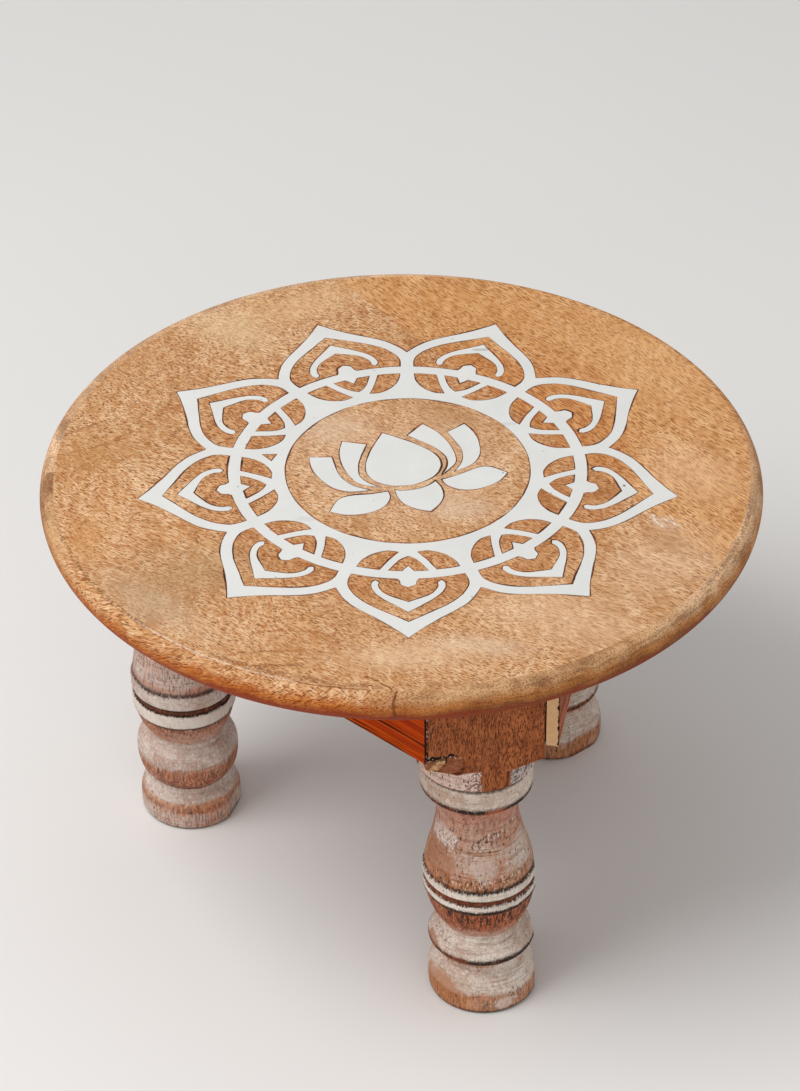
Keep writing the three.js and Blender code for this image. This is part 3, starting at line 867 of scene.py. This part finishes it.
def gap_at(p):
    """Width of the open line round the inlay, unsteady along it"""
    return inlay_gap * (0.75 + 0.9 * noise.noise((p.x * 190, p.y * 190, 4.0)))


disc_profile = spline([
    (0.97, 1.0), (0.9775, 0.975), (0.985, 0.93), (0.996, 0.77), (1, 0.57), (0.994, 0.34), (0.976, 0.13),
    (0.942, 0),
], 4)
disc_profile = [(0.9687 * disc_radius, table_height)] + [
    (min(r, 1) * disc_radius, disc_bottom + h * disc_thickness) for r, h in disc_profile[1:]
]
disc = lathe("disc", disc_profile, disc_sides)
disc = cut(disc, slab("pocket", outline, windows, pocket_levels))
for name, loop in islands.items():
    disc = cut(disc, slab("pocket", loop, [], pocket_levels))

seam = 0.00004
far = 0.4
sides = {
    "top_board_front": (-far, front_joint - seam),
    "top_board_middle": (front_joint + seam, back_joint - seam),
    "top_board_back": (back_joint + seam, far),
}
boards = {}
for name, (start, end) in sides.items():
    saw = box("saw", (start, -far, 0), (end, far, far), joint_angle)
    boards[name] = cut(added(name, disc.data.copy()), saw, "INTERSECT")
    creased(boards[name], 22)
bpy.data.objects.remove(disc, do_unlink=True)

# Places and sizes are shares of the disc's radius
top_blots = [
    ((-0.62, -0.5), 0.3, 0.16, 30, 0.65, (166, 130, 92)),
    ((-0.84, 0.1), 0.2, 0.1, 30, 0.5, (178, 124, 66)),
    ((-0.3, -0.8), 0.3, 0.12, -12, 0.4, (186, 132, 80)),
    ((0.02, -0.82), 0.26, 0.07, 4, 0.6, (232, 198, 162)),
    ((0.42, -0.66), 0.34, 0.14, -24, 0.5, (234, 198, 162)),
    ((-0.5, 0.7), 0.2, 0.1, -40, 0.6, (226, 196, 156)),
    ((-0.2, 0.2), 0.12, 0.08, 20, 0.6, (222, 194, 166)),
    ((0.14, 0.26), 0.2, 0.08, -35, 0.55, (172, 122, 78)),
    ((0.16, -0.17), 0.12, 0.07, -10, 0.55, (220, 194, 168)),
    ((0.715, -0.245), 0.05, 0.03, -35, 0.4, (228, 210, 194)),
    ((0.0, 0.02), 0.36, 0.3, 0, 0.4, (226, 196, 166)),
    ((0.7, -0.42), 0.22, 0.14, 40, 0.4, (234, 200, 166)),
    ((0.82, -0.02), 0.2, 0.13, -60, 0.45, (240, 196, 154)),
    ((0.16, 0.84), 0.4, 0.12, -12, 0.35, (208, 148, 86)),
    ((0.7, 0.52), 0.4, 0.2, -52, 0.4, (232, 178, 124)),
    ((-0.86, -0.3), 0.2, 0.08, 70, 0.5, (196, 136, 74)),
    ((-0.64, -0.62), 0.26, 0.08, -45, 0.36, (204, 182, 158)),
    ((0.22, -0.78), 0.16, 0.05, -10, 0.5, (232, 206, 178)),
    ((-0.76, 0.54), 0.2, 0.08, 54, 0.45, (186, 130, 76)),
    ((-0.3, 0.82), 0.24, 0.1, 20, 0.5, (234, 194, 146)),
    ((0.73, -0.34), 0.09, 0.05, -30, 0.5, (176, 126, 82)),
]
top_streaks = [
    ((-0.4, -0.725), (-0.13, -0.775), 0.035, 0.0009, 0.6, (160, 96, 48)),
    ((-0.46, -0.82), (-0.17, -0.815), 0.02, 0.001, 0.55, (156, 94, 48)),
    ((-0.42, -0.875), (-0.24, -0.86), 0.01, 0.0011, 0.6, (136, 80, 42)),
    ((-0.93, 0.08), (-0.72, 0.215), -0.01, 0.0007, 0.6, (150, 92, 46)),
    ((-0.96, 0.15), (-0.84, 0.235), 0.01, 0.0009, 0.65, (138, 82, 40)),
    ((-0.97, -0.02), (-0.8, 0.02), 0.01, 0.0009, 0.4, (160, 104, 58)),
    ((-0.095, -0.9), (-0.026, -0.98), 0.006, 0.00045, 0.9, (100, 54, 30)),
    ((0.69, -0.2), (0.712, -0.27), -0.004, 0.0006, 0.8, (238, 224, 210)),
    ((0.706, -0.225), (0.75, -0.268), 0.005, 0.0006, 0.75, (238, 224, 210)),
    ((0.728, -0.21), (0.742, -0.262), 0.002, 0.0005, 0.7, (238, 224, 210)),
]

board_tones = {
    "front": ((240, 204, 163), (219, 173, 126), (188, 134, 84), (166, 98, 46), (108, 62, 34)),
    "middle": ((240, 204, 163), (217, 172, 126), (186, 133, 84), (160, 94, 44), (98, 58, 34)),
    "back": ((236, 190, 140), (220, 165, 111), (193, 135, 78), (162, 98, 48), (112, 68, 38)),
}
# Course of the fibres, their rise and turn, a seed, and how strongly the wood is figured
board_figures = {
    "front": (146, -0.08, -0.19, 3, 0.9),
    "middle": (149, -0.08, -0.2, 7, 1.0),
    "back": (133, -0.06, -0.06, 12, 0.65),
}
for name, figure in board_figures.items():
    wood = board_wood(name + "_board_wood", board_tones[name], *figure)
    stands_for(boards["top_board_" + name], "top_board_" + name, "mango_top", wood)


# Places are shares of the disc's radius, sizes in metres
filler_marks = [
    ((0.613, -0.074), (0.0006, 0.0007), 0.9, (96, 88, 84)),
    ((0.531, -0.001), (0.0006, 0.0006), 0.85, (88, 72, 64)),
    ((0.23, 0.585), (0.004, 0.0009), 0.5, (150, 146, 142)),
    ((0.29, 0.22), (0.006, 0.0012), 0.3, (186, 178, 170)),
    ((-0.26, -0.22), (0.005, 0.0016), 0.3, (196, 190, 184)),
]


def filler(name):
    p = Paint(name)
    cloud = p.noise(p.place, 60, 4, 0.6)
    p.colour = p.mix(cloud, (213, 213, 210), (229, 228, 225))
    dots = p.specks(p.place, (0.2, 0.1), (0.93, 0.97), 420)
    p.coat(dots * 0.7, (120, 104, 92))
    brush = p.noise(p.place, (900, 160, 400), 3)
    p.coat(brush.step(0.62, 0.8, 0.16), (190, 184, 176))
    for centre, size, share, shade in filler_marks:
        off = p.shifted(p.place, (-centre[0] * disc_radius, -centre[1] * disc_radius, -table_height))
        x, y = p.parts(off)[:2]
        mark = (hypot(x / size[0], y / size[1]) + (brush - 0.5) * 1.2).step(1.0, 0.6)
        p.coat(mark * share, shade)
    worn = (table_height - p.parts(p.place)[2]).step(0.000025, 0.00006)
    p.coat(worn * 0.7, (184, 142, 110))
    p.bump(cloud * 0.5 + brush * 0.3, 0.0001, 0.5)
    return p.finish(cloud.step(0.3, 0.7, 0.55, 0.42))


white = filler("white_filler")


def inlay(name, node, loop, holes=()):
    edge = grown(loop, lambda p: -gap_at(p))
    piece = slab(name, edge, [grown(hole, gap_at) for hole in holes], inlay_levels, -1)
    creased(piece, 30)
    stands_for(piece, node, "white_filler", white)


inlay("mandala", "mandala_inlay", outline, windows)
for name, loop in islands.items():
    inlay(name + "_piece", name, loop)

# ---------------------------------------------------------------- legs


def turned(profile):
    points, start = [], []
    for run in profile:
        curve = spline(start + run, 4 if len(start + run) > 2 else 1)
        points += curve[len(start):]
        start = [run[-1]]
    return [(r / 1000 * stock_half, h / 1000 * turned_height) for r, h in points]


def head_centre(i):
    return (heading(leg_angles[i]) + Vector(foot_shifts[i])) * leg_circle + head_shift


def prism(name, face, low, high):
    """Solid whose face, drawn in the YZ plane, runs along X from low to high"""
    count = len(face)
    verts = [(x, y, z) for x in (low, high) for y, z in face]
    return made(name, verts, band(0, count, count) + [tuple(range(count)), tuple(range(count, 2 * count))])


def tear_corner(body):
    """Break the lower left corner of the front face away, leaving one pale splinter in the hollow"""
    depth = 0.0014
    hollow = [
        (-0.0215, 0.1119), (-0.0168, 0.1114), (-0.0121, 0.1118), (-0.0082, 0.1126), (-0.0072, 0.1147),
        (-0.0073, 0.117), (-0.0079, 0.1188), (-0.0088, 0.1203), (-0.01, 0.1213), (-0.0109, 0.1216),
        (-0.0118, 0.1224), (-0.0129, 0.1222), (-0.0135, 0.1212), (-0.0152, 0.1217), (-0.0171, 0.1213),
        (-0.0184, 0.122), (-0.0198, 0.1218), (-0.0215, 0.1223),
    ]
    cut(body, prism("hollow", hollow, stock_half - depth, stock_half + 0.01))
    for face in body.data.polygons:
        c = face.center
        inside = -depth - 0.0002 < c.x - stock_half < -0.0002 and 0.0003 - stock_half < c.y < -0.007
        if inside and 0.111 < c.z < 0.123:
            face.material_index = 2
    splinter = [
        (-0.0194, 0.1153), (-0.0185, 0.1149), (-0.0167, 0.1154), (-0.0142, 0.118), (-0.0139, 0.119),
        (-0.0163, 0.1192), (-0.0187, 0.1171),
    ]
    chip = prism("splinter", splinter, stock_half - depth - 0.0003, stock_half - 0.0004)
    with editing(body.data) as both:
        known = len(both.faces)
        both.from_mesh(chip.data)
        both.faces.ensure_lookup_table()
        for face in both.faces[known:]:
            face.material_index = 3
    bpy.data.objects.remove(chip, do_unlink=True)


def leg(i, profile):
    azimuth = leg_angles[i] + leg_twist
    head_low, bevel = 0.87 * turned_height, 0.0006
    lean = Matrix.Rotation(-azimuth, 2) @ -head_shift
    rings = turned(profile)
    rings.append((rings[-1][0], disc_bottom))
    body = lathe(f"leg_{i + 1}_turning", rings, leg_sides, lambda h: lean * max(1 - h / turned_height, 0))
    stock = box("stock", (-stock_half, -stock_half, -0.02), (stock_half, stock_half, 0.3), bevel=bevel)
    for name in ("turned", "sawn"):
        slot = bpy.data.materials.new(name)
        body.data.materials.append(slot)
        stock.data.materials.append(slot)
    for face in stock.data.polygons:
        face.material_index = 1
    body = cut(body, stock, "INTERSECT")
    for face in body.data.polygons:
        centre, facing = face.center, face.normal
        side = max(abs(facing.x), abs(facing.y)) > 0.99
        corner = min(abs(centre.x), abs(centre.y)) > stock_half - bevel - 0.0002
        face.material_index = 1 if (side or corner) and centre.z > head_low else 0
    if i == 0:
        tear_corner(body)
    creased(body, 24)
    centre = head_centre(i)
    body.matrix_world = Matrix.Translation((centre.x, centre.y, 0)) @ Matrix.Rotation(azimuth, 4, "Z")
    return body


def dab(y, share, soft, centre, size):
    """1 in a patch of a leg, 0 outside. Centre and size are a distance aside and a share of the height."""
    far = hypot((y - centre[0]) / size[0], (share - centre[1]) / size[1])
    return (far + (soft - 0.5) * 1.8).step(1.1, 0.55)


def turned_finish(name, seed, bands, chalk, milk, dabs):
    """Paint and thin wash over red-brown wood, worn through and burnt dark along the cut lines, and dark along
    the foot's lowest edge where it stands on the floor.
    bands holds ramps over the share of the turned height: the bare wood's tone, the wash's strength,
    the paint's strength, the dark lines, the upright streaks and how many dark ticks. It also holds
    how ragged the edges of the bands are and how strongly fine turning lines show."""
    p = Paint(name)
    x, y, z = p.parts(p.place)
    start = p.shifted(p.place, (seed * 0.31, seed * 0.17, 0))
    upright = p.noise(start, (1200, 1200, 220), 3, 0.6)
    stroke = p.noise(start, (620, 620, 75), 4, 0.7)
    patch = p.noise(start, (170, 170, 130), 4, 0.65, 0.8)
    broad = p.noise(start, (50, 50, 42), 3, 0.55)
    rings = p.noise(start, (70, 70, 1900), 3, 0.7)
    grit = p.noise(start, (1000, 1000, 700), 3, 0.75)
    share = z / turned_height
    edge = share + ((upright - 0.5) * bands["ragged"] + (patch - 0.5) * 0.008)
    loose = share + (patch - 0.5) * 0.08
    p.colour = p.ramp(loose, bands["wood"])
    p.coats(stroke, (0.48, 0.66, 0.8, (92, 44, 24)), (0.44, 0.28, 0.6, (214, 150, 106)))

    brushed = patch * 0.5 + (broad * 0.3 + rings * 0.2)
    wash_here = p.ramp(loose, bands["wash"]) * brushed.step(0.4, 0.58, 1.3, 0.35)
    wash_here = wash_here * rings.step(0.42, 0.6, 0.35, 1.0)
    wash = p.mix(broad.step(0.42, 0.58), (196, 142, 118), (206, 180, 164))
    p.coat(wash_here, wash)
    p.coats(grit, (0.52, 0.68, 0.55, (88, 50, 32)), (0.44, 0.3, 0.4, (232, 206, 188)))

    worn = patch * 0.6 + rings * 0.15 + upright * 0.25
    cover = (p.ramp(edge, bands["paint"]) - worn).step(-0.1, 0.08)
    under, p.colour = p.colour, p.mix((broad * 0.5 + patch * 0.5).step(0.4, 0.6), milk, chalk)
    p.coat(rings.step(0.48, 0.7, 0.45), (176, 142, 120))
    p.coats(grit, (0.54, 0.66, 0.5, (142, 112, 94)), (0.44, 0.34, 0.5, (250, 246, 240)))
    beads = share.plateau(0.398, 0.404, 0.48, 0.486)
    p.coat(beads * 0.6, (240, 232, 220))
    head = share.step(0.872, 0.882)
    corner = head * y.step(-0.001, 0.001)
    p.coat(corner, p.mix(grit.step(0.46, 0.56), (208, 196, 192), (118, 98, 92)))
    left_corner = head * y.step(0.001, -0.001)
    p.coat(left_corner * 0.75, (228, 196, 180))
    p.coat(left_corner * cracks(p, y, z), (84, 44, 26))
    p.colour = p.mix(cover * 0.95, under, p.colour)
    hair = p.noise(start, (1700, 1700, 170), 3, 0.6)
    streaky = p.ramp(loose, bands["streaks"])
    p.coat(streaky * hair.step(0.52, 0.62), (80, 44, 28))
    # Light upright streaks, made stronger towards the +y side as a painted red reflection
    pale = streaky * y.step(-0.004, 0.012, 0.8, 0.15)
    p.coat(pale * hair.step(0.46, 0.36), (214, 166, 140))
    belly = share.step(0.49, 0.52) * share.step(0.72, 0.6, 1.0, 0.2)
    p.coat(rings.step(0.54, 0.64, belly * 0.35 + bands["rings"]), (120, 72, 46))
    front = p.math("GREATER_THAN", x, 0.0)
    for centre, size, strength, shade, kind in dabs:
        spot = dab(y, share, patch, centre, size) * front
        if kind == "flecks":
            p.coat(spot * grit.step(0.42, 0.36), (236, 226, 216))
            spot = spot * grit.step(0.53, 0.58)
        if kind == "strokes":
            spot = spot * stroke.step(0.51, 0.57)
        p.coat(spot * strength, p.mix(grit.step(0.4, 0.62, 0.4), shade, p.colour))

    distance, chance = p.cells(p.scaled(start, (1 / 0.0008, 1 / 0.0008, 1 / 0.0028)))
    many = p.ramp(loose, bands["ticks"])
    ticks = distance.step(0.36, 0.16) * (chance + many - 1.0).step(0.0, 0.12)
    p.coat(ticks * 0.9, (40, 22, 14))
    pits = p.specks(p.scaled(start, (900, 900, 520)), (0.3, 0.1), (0.75, 1.0))
    p.coat(pits * 0.5, (112, 76, 56))
    burnt = p.mix((y + (broad - 0.5) * 0.03).step(-0.012, -0.006), (128, 62, 26), (28, 17, 12))
    dark = p.ramp(edge, bands["dark"]) * upright.step(0.34, 0.48, 1.0, 0.5)
    ragged_y = y + (grit - 0.5) * 0.01
    glow = ragged_y.plateau(-0.0005, 0.0015, 0.006, 0.0085)
    glow = glow * front * edge.plateau(0.774, 0.78, 0.799, 0.803)
    dark = dark * (1.0 - glow * 0.75)
    p.coat(glow * 0.75, (184, 88, 38))
    p.coat(dark, p.mix(stroke.step(0.42, 0.55, 0.8), burnt, (26, 15, 10)))

    height = cover * 0.5 + (rings * 0.35 + larger(ticks, pits) * -0.6)
    p.bump(height + stroke * 0.5 + dark * -0.5, 0.0003, 0.9)
    bared = share.step(0.87, 0.88) * y.plateau(0.0, 0.002, 0.0084, 0.0094)
    bared = bared * p.math("GREATER_THAN", x, 0.5 * stock_half)
    p.coat(bared, p.mix(stroke.step(0.4, 0.6), (168, 92, 48), (84, 40, 18)))
    return p.finish(cover.step(0, 1, 0.75, 0.55), 0.2)


pink, umber, rust, tan = (192, 134, 110), (138, 76, 50), (176, 84, 36), (194, 128, 80)
soot = (170, 86, 44)
clay = (178, 110, 76)
thin_bands = {
    "ragged": 0.018,
    "rings": 0.26,
    "wood": [
        (70, tan), (100, pink), (165, pink), (180, rust), (200, umber), (250, pink), (290, pink), (325, soot),
        (410, soot), (425, rust), (450, rust), (490, tan), (580, tan), (660, pink), (755, pink), (775, rust),
        (790, rust), (800, umber), (870, umber), (900, pink),
    ],
    "wash": [
        (50, 30), (80, 80), (160, 70), (180, 5), (250, 50), (300, 40), (330, 2), (480, 0), (500, 50), (560, 90),
        (620, 90), (670, 55), (720, 42), (760, 30), (880, 70),
    ],
    "paint": [
        (55, 33), (80, 58), (125, 66), (155, 50), (170, 0), (201, 0), (207, 95), (250, 90), (262, 75),
        (280, 20), (300, 0), (404, 0), (411, 100), (428, 100), (432, 0), (446, 0), (451, 100), (478, 100),
        (484, 10), (530, 46), (620, 46), (660, 20), (794, 0), (800, 100), (868, 100), (880, 80),
    ],
    "dark": [
        (0, 100), (10, 70), (17, 0), (178, 0), (184, 95), (206, 100), (212, 0), (394, 0), (401, 90), (410, 98),
        (413, 0), (426, 0), (430, 90), (434, 60), (444, 60), (450, 90), (453, 0), (475, 0), (480, 95),
        (486, 80), (495, 0), (776, 0), (782, 90), (802, 100), (807, 0), (864, 0), (870, 80), (878, 50),
        (884, 0),
    ],
    "streaks": [
        (60, 50), (90, 10), (300, 15), (330, 75), (400, 80), (410, 15), (450, 20), (500, 15), (700, 5),
        (750, 12), (800, 10),
    ],
    "ticks": [
        (60, 35), (100, 8), (200, 8), (300, 10), (340, 50), (400, 55), (410, 10), (470, 15), (490, 60),
        (520, 35), (570, 25), (620, 30), (645, 65), (670, 25), (750, 10), (800, 10), (870, 15), (900, 60),
    ],
}
deep_bands = {
    "ragged": 0.008,
    "rings": 0.08,
    "wood": [
        (50, pink), (72, clay), (90, tan), (120, pink), (150, umber), (190, clay), (240, clay), (300, pink),
        (340, pink), (370, clay), (410, umber), (470, rust), (550, pink), (755, pink), (775, rust), (790, rust),
        (800, umber), (870, umber), (900, pink),
    ],
    "wash": [
        (60, 80), (75, 30), (100, 80), (140, 70), (155, 15), (210, 20), (250, 80), (320, 80), (360, 50),
        (400, 20), (480, 0), (540, 70), (700, 80), (760, 30), (880, 70),
    ],
    "paint": [
        (55, 50), (70, 34), (88, 36), (105, 62), (140, 60), (155, 15), (190, 10), (215, 30), (240, 50),
        (270, 75), (310, 80), (325, 50), (345, 10), (408, 0), (416, 100), (457, 100), (462, 0), (479, 0),
        (484, 100), (532, 100), (538, 20), (570, 52), (660, 52), (750, 30), (794, 0), (800, 100), (868, 100),
        (880, 80),
    ],
    "dark": [
        (0, 100), (6, 50), (12, 0), (64, 0), (73, 15), (84, 0), (142, 0), (148, 60), (156, 0), (400, 0),
        (410, 85), (416, 0), (456, 0), (461, 98), (468, 75), (474, 80), (482, 98), (486, 0), (531, 0),
        (536, 98), (544, 60), (553, 0), (778, 0), (784, 90), (796, 95), (801, 0), (866, 0), (872, 60), (884, 0),
    ],
    "streaks": [
        (0, 55), (60, 50), (75, 40), (100, 10), (140, 20), (155, 70), (210, 75), (240, 30), (270, 10),
        (340, 15), (370, 70), (410, 60), (420, 10), (530, 10), (545, 60), (750, 65), (800, 20),
    ],
    "ticks": [
        (60, 15), (100, 5), (160, 20), (220, 20), (250, 3), (360, 10), (410, 15), (430, 3), (500, 3), (550, 20),
        (700, 15), (800, 5), (870, 10), (900, 30),
    ],
}
chalks = [((230, 218, 205), (203, 181, 164))] * 2 + [((214, 200, 190), (190, 166, 152))]
# Patches on the front leg: distance aside and share of the height, their sizes, strength, tone and kind
front_dabs = [
    ((-0.0145, 0.07), (0.008, 0.045), 0.75, (178, 112, 62), "whole"),
    ((0.0075, 0.035), (0.0045, 0.026), 0.9, (220, 198, 184), "whole"),
    ((0.002, 0.045), (0.003, 0.02), 0.9, (60, 34, 22), "flecks"),
    ((0.0125, 0.05), (0.003, 0.02), 0.9, (60, 34, 22), "flecks"),
    ((-0.003, 0.04), (0.003, 0.026), 0.7, (204, 150, 122), "whole"),
    ((-0.0165, 0.212), (0.0045, 0.018), 0.8, (166, 98, 56), "whole"),
    ((-0.0125, 0.24), (0.004, 0.02), 0.7, (92, 74, 58), "flecks"),
    ((-0.012, 0.638), (0.0046, 0.034), 0.75, (228, 212, 202), "whole"),
    ((-0.012, 0.622), (0.005, 0.04), 0.8, (104, 66, 50), "flecks"),
    ((0.0098, 0.635), (0.0045, 0.04), 0.6, (192, 130, 90), "whole"),
    ((-0.0135, 0.555), (0.006, 0.055), 0.75, (170, 104, 62), "whole"),
    ((0.0075, 0.512), (0.0105, 0.024), 0.9, (46, 28, 18), "flecks"),
    ((-0.006, 0.508), (0.01, 0.018), 0.85, (70, 38, 22), "flecks"),
    ((0.001, 0.55), (0.0055, 0.05), 0.6, (214, 192, 180), "whole"),
    ((0.0135, 0.585), (0.004, 0.05), 0.5, (216, 200, 188), "whole"),
    ((-0.0015, 0.634), (0.0045, 0.022), 0.95, (30, 20, 16), "flecks"),
    ((0.0035, 0.656), (0.0042, 0.02), 0.95, (30, 20, 16), "flecks"),
    ((0.0078, 0.664), (0.0036, 0.015), 0.95, (30, 20, 16), "flecks"),
    ((0.0108, 0.68), (0.003, 0.015), 0.85, (40, 26, 20), "flecks"),
    ((-0.009, 0.372), (0.012, 0.036), 0.85, (48, 24, 14), "strokes"),
    ((0.006, 0.37), (0.013, 0.032), 0.85, (48, 24, 14), "strokes"),
    ((0.0, 0.49), (0.012, 0.014), 0.9, (34, 22, 16), "flecks"),
    ((-0.0125, 0.845), (0.006, 0.018), 0.45, (190, 146, 118), "whole"),
    ((0.001, 0.83), (0.004, 0.014), 0.3, (186, 150, 128), "whole"),
]

head_light, head_deep, head_pore = (188, 110, 64), (146, 78, 42), (76, 36, 18)
leg_looks = [(thin_disc_profile, thin_bands)] * 2 + [(deep_disc_profile, deep_bands)]
for i, (profile, bands) in enumerate(leg_looks):
    body = leg(i, profile)
    wash = turned_finish(f"leg_{i + 1}_wash", 2 + 5 * i, bands, *chalks[i], front_dabs if i == 0 else [])
    bare = bare_wood(f"leg_{i + 1}_head_wood", head_light, head_deep, head_pore, 4 + 3 * i, i == 0)
    finish = [wash, bare]
    if i == 0:
        finish.append(torn_wood("torn_wood", (172, 106, 72), (124, 72, 46), 0.95))
        finish.append(torn_wood("splinter_wood", (224, 180, 132), (160, 104, 66), 0.0))
    stands_for(body, f"leg_{i + 1}", "washed_leg", *finish)

# ---------------------------------------------------------------- apron rails


def crossing(point, direction, other, other_direction):
    return point + direction * ((other - point).cross(other_direction) / direction.cross(other_direction))


def rail_outline(i):
    far_leg = (i + 1) % 3
    near_out, far_out = heading(leg_angles[i] + leg_twist), heading(leg_angles[far_leg] + leg_twist)
    reach = stock_half + glue_gap
    near_corner = head_centre(i) + near_out * stock_half - right_of(near_out) * reach
    far_corner = head_centre(far_leg) + far_out * stock_half + right_of(far_out) * reach
    lip_corner = near_corner + right_of((far_corner - near_corner).normalized()) * rail_lip
    run = (far_corner - lip_corner).normalized()
    back = lip_corner - right_of(run) * rail_thickness
    near_back = crossing(back, run, near_corner, near_out)
    far_back = crossing(back, run, far_corner, far_out)
    return [lip_corner, far_corner, far_back, near_back, near_corner], run


def rail(i):
    """Thin board on edge, its lip end rough from the saw"""
    corners, run = rail_outline(i)
    rows, lip_rough, end_rough = 34, 0.0013, 0.0001
    tall = rail_height - rail_trims[i]
    verts, faces = [], []
    for row in range(rows + 1):
        height = disc_bottom - tall + tall * row / rows
        for k, corner in enumerate(corners):
            rough = noise.noise((row * 1.3, k * 7.3, i * 11.1))
            slip = right_of(run) * -lip_rough * abs(rough) if k == 0 else run * end_rough * rough
            verts.append((*(corner + slip), height))
    size = len(corners)
    for row in range(rows):
        faces += band(row * size, size, size)
    faces += [tuple(range(size)), tuple(range(rows * size, rows * size + size))]
    piece = made(f"apron_rail_{i + 1}_board", verts, faces)
    return piece, corners, run


def rail_finish(name, run, ends, light, deep, line, seed):
    p = Paint(name)
    start = p.shifted(p.place, (seed * 0.19, seed * 0.23, seed * 0.11))
    s, c = p.along_aside(start, run)
    z = p.parts(start)[2]
    bend = p.noise(start, 9, 1) * 0.012
    level = z + bend
    stripes = p.noise(p.joined(s * 9, c * 120, level * 420), 1, 3, 0.55, 0.3)
    thin = p.noise(p.joined(s * 30, c * 400, level * 1700), 1, 2)
    p.colour = p.mix(stripes.step(0.38, 0.6), deep, light)
    p.coat(stripes.plateau(0.56, 0.62, 0.62, 0.7), line)
    p.coat(thin.step(0.45, 0.75, 0.45), line)
    p.bump(stripes * 0.5 + thin * 0.4, 0.0002, 0.6)
    near = p.along_aside(p.place, run)[0]
    start_at, end_at = ends
    raw = (thin - 0.5) * 0.0006
    # Partly glue lines and partly painted shade: the face turns near black close to both ends, where the rail
    # meets the leg heads
    first = (near - start_at + raw).step(0.0034, 0.0022)
    last = (end_at - near + raw).step(0.0009, 0.0004)
    p.coat(larger(first, last), (40, 20, 10))
    return p.finish(thin.step(0.3, 0.7, 0.75, 0.6), 0.05)


def end_grain(name, seed):
    p = Paint(name)
    start = p.shifted(p.place, (seed * 0.19, 0, 0))
    cloud = p.noise(start, 500, 3, 0.6)
    p.colour = p.mix(cloud, (204, 156, 108), (228, 184, 136))
    p.coat(p.specks(start, (0.3, 0.15), (0.6, 0.9, 0.6), 1800), (150, 98, 58))
    p.bump(cloud, 0.0002, 0.8)
    return p.finish(0.75)


rail_tones = [
    ((198, 122, 90), (176, 102, 72), (128, 70, 46)),
    ((192, 116, 60), (158, 84, 38), (104, 52, 22)),
    # The third rail's strong orange red is partly its stain and partly a painted red reflection
    ((214, 82, 4), (174, 52, 0), (70, 20, 0)),
]
for i in range(3):
    piece, corners, run = rail(i)
    ends = (corners[0].dot(run), corners[1].dot(run))
    face = rail_finish(f"rail_{i + 1}_stain", run, ends, *rail_tones[i], 3 + 4 * i)
    end = end_grain(f"rail_{i + 1}_end", i)
    for polygon in piece.data.polygons:
        centre = polygon.center
        on_end = (Vector((centre.x, centre.y)) - (corners[0] + corners[4]) / 2).length < 0.0008
        polygon.material_index = 1 if on_end else 0
    stands_for(piece, f"apron_rail_{i + 1}", "stained_rail", face, end)

# Dowels, hidden in their holes
pin_wood = bare_wood("dowel_wood", (214, 180, 134), (190, 150, 102), (150, 104, 62), 9)
for i in range(3):
    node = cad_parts[f"leg_dowel_{i + 1}"]
    for spot in node.material_slots:
        spot.material = pin_wood
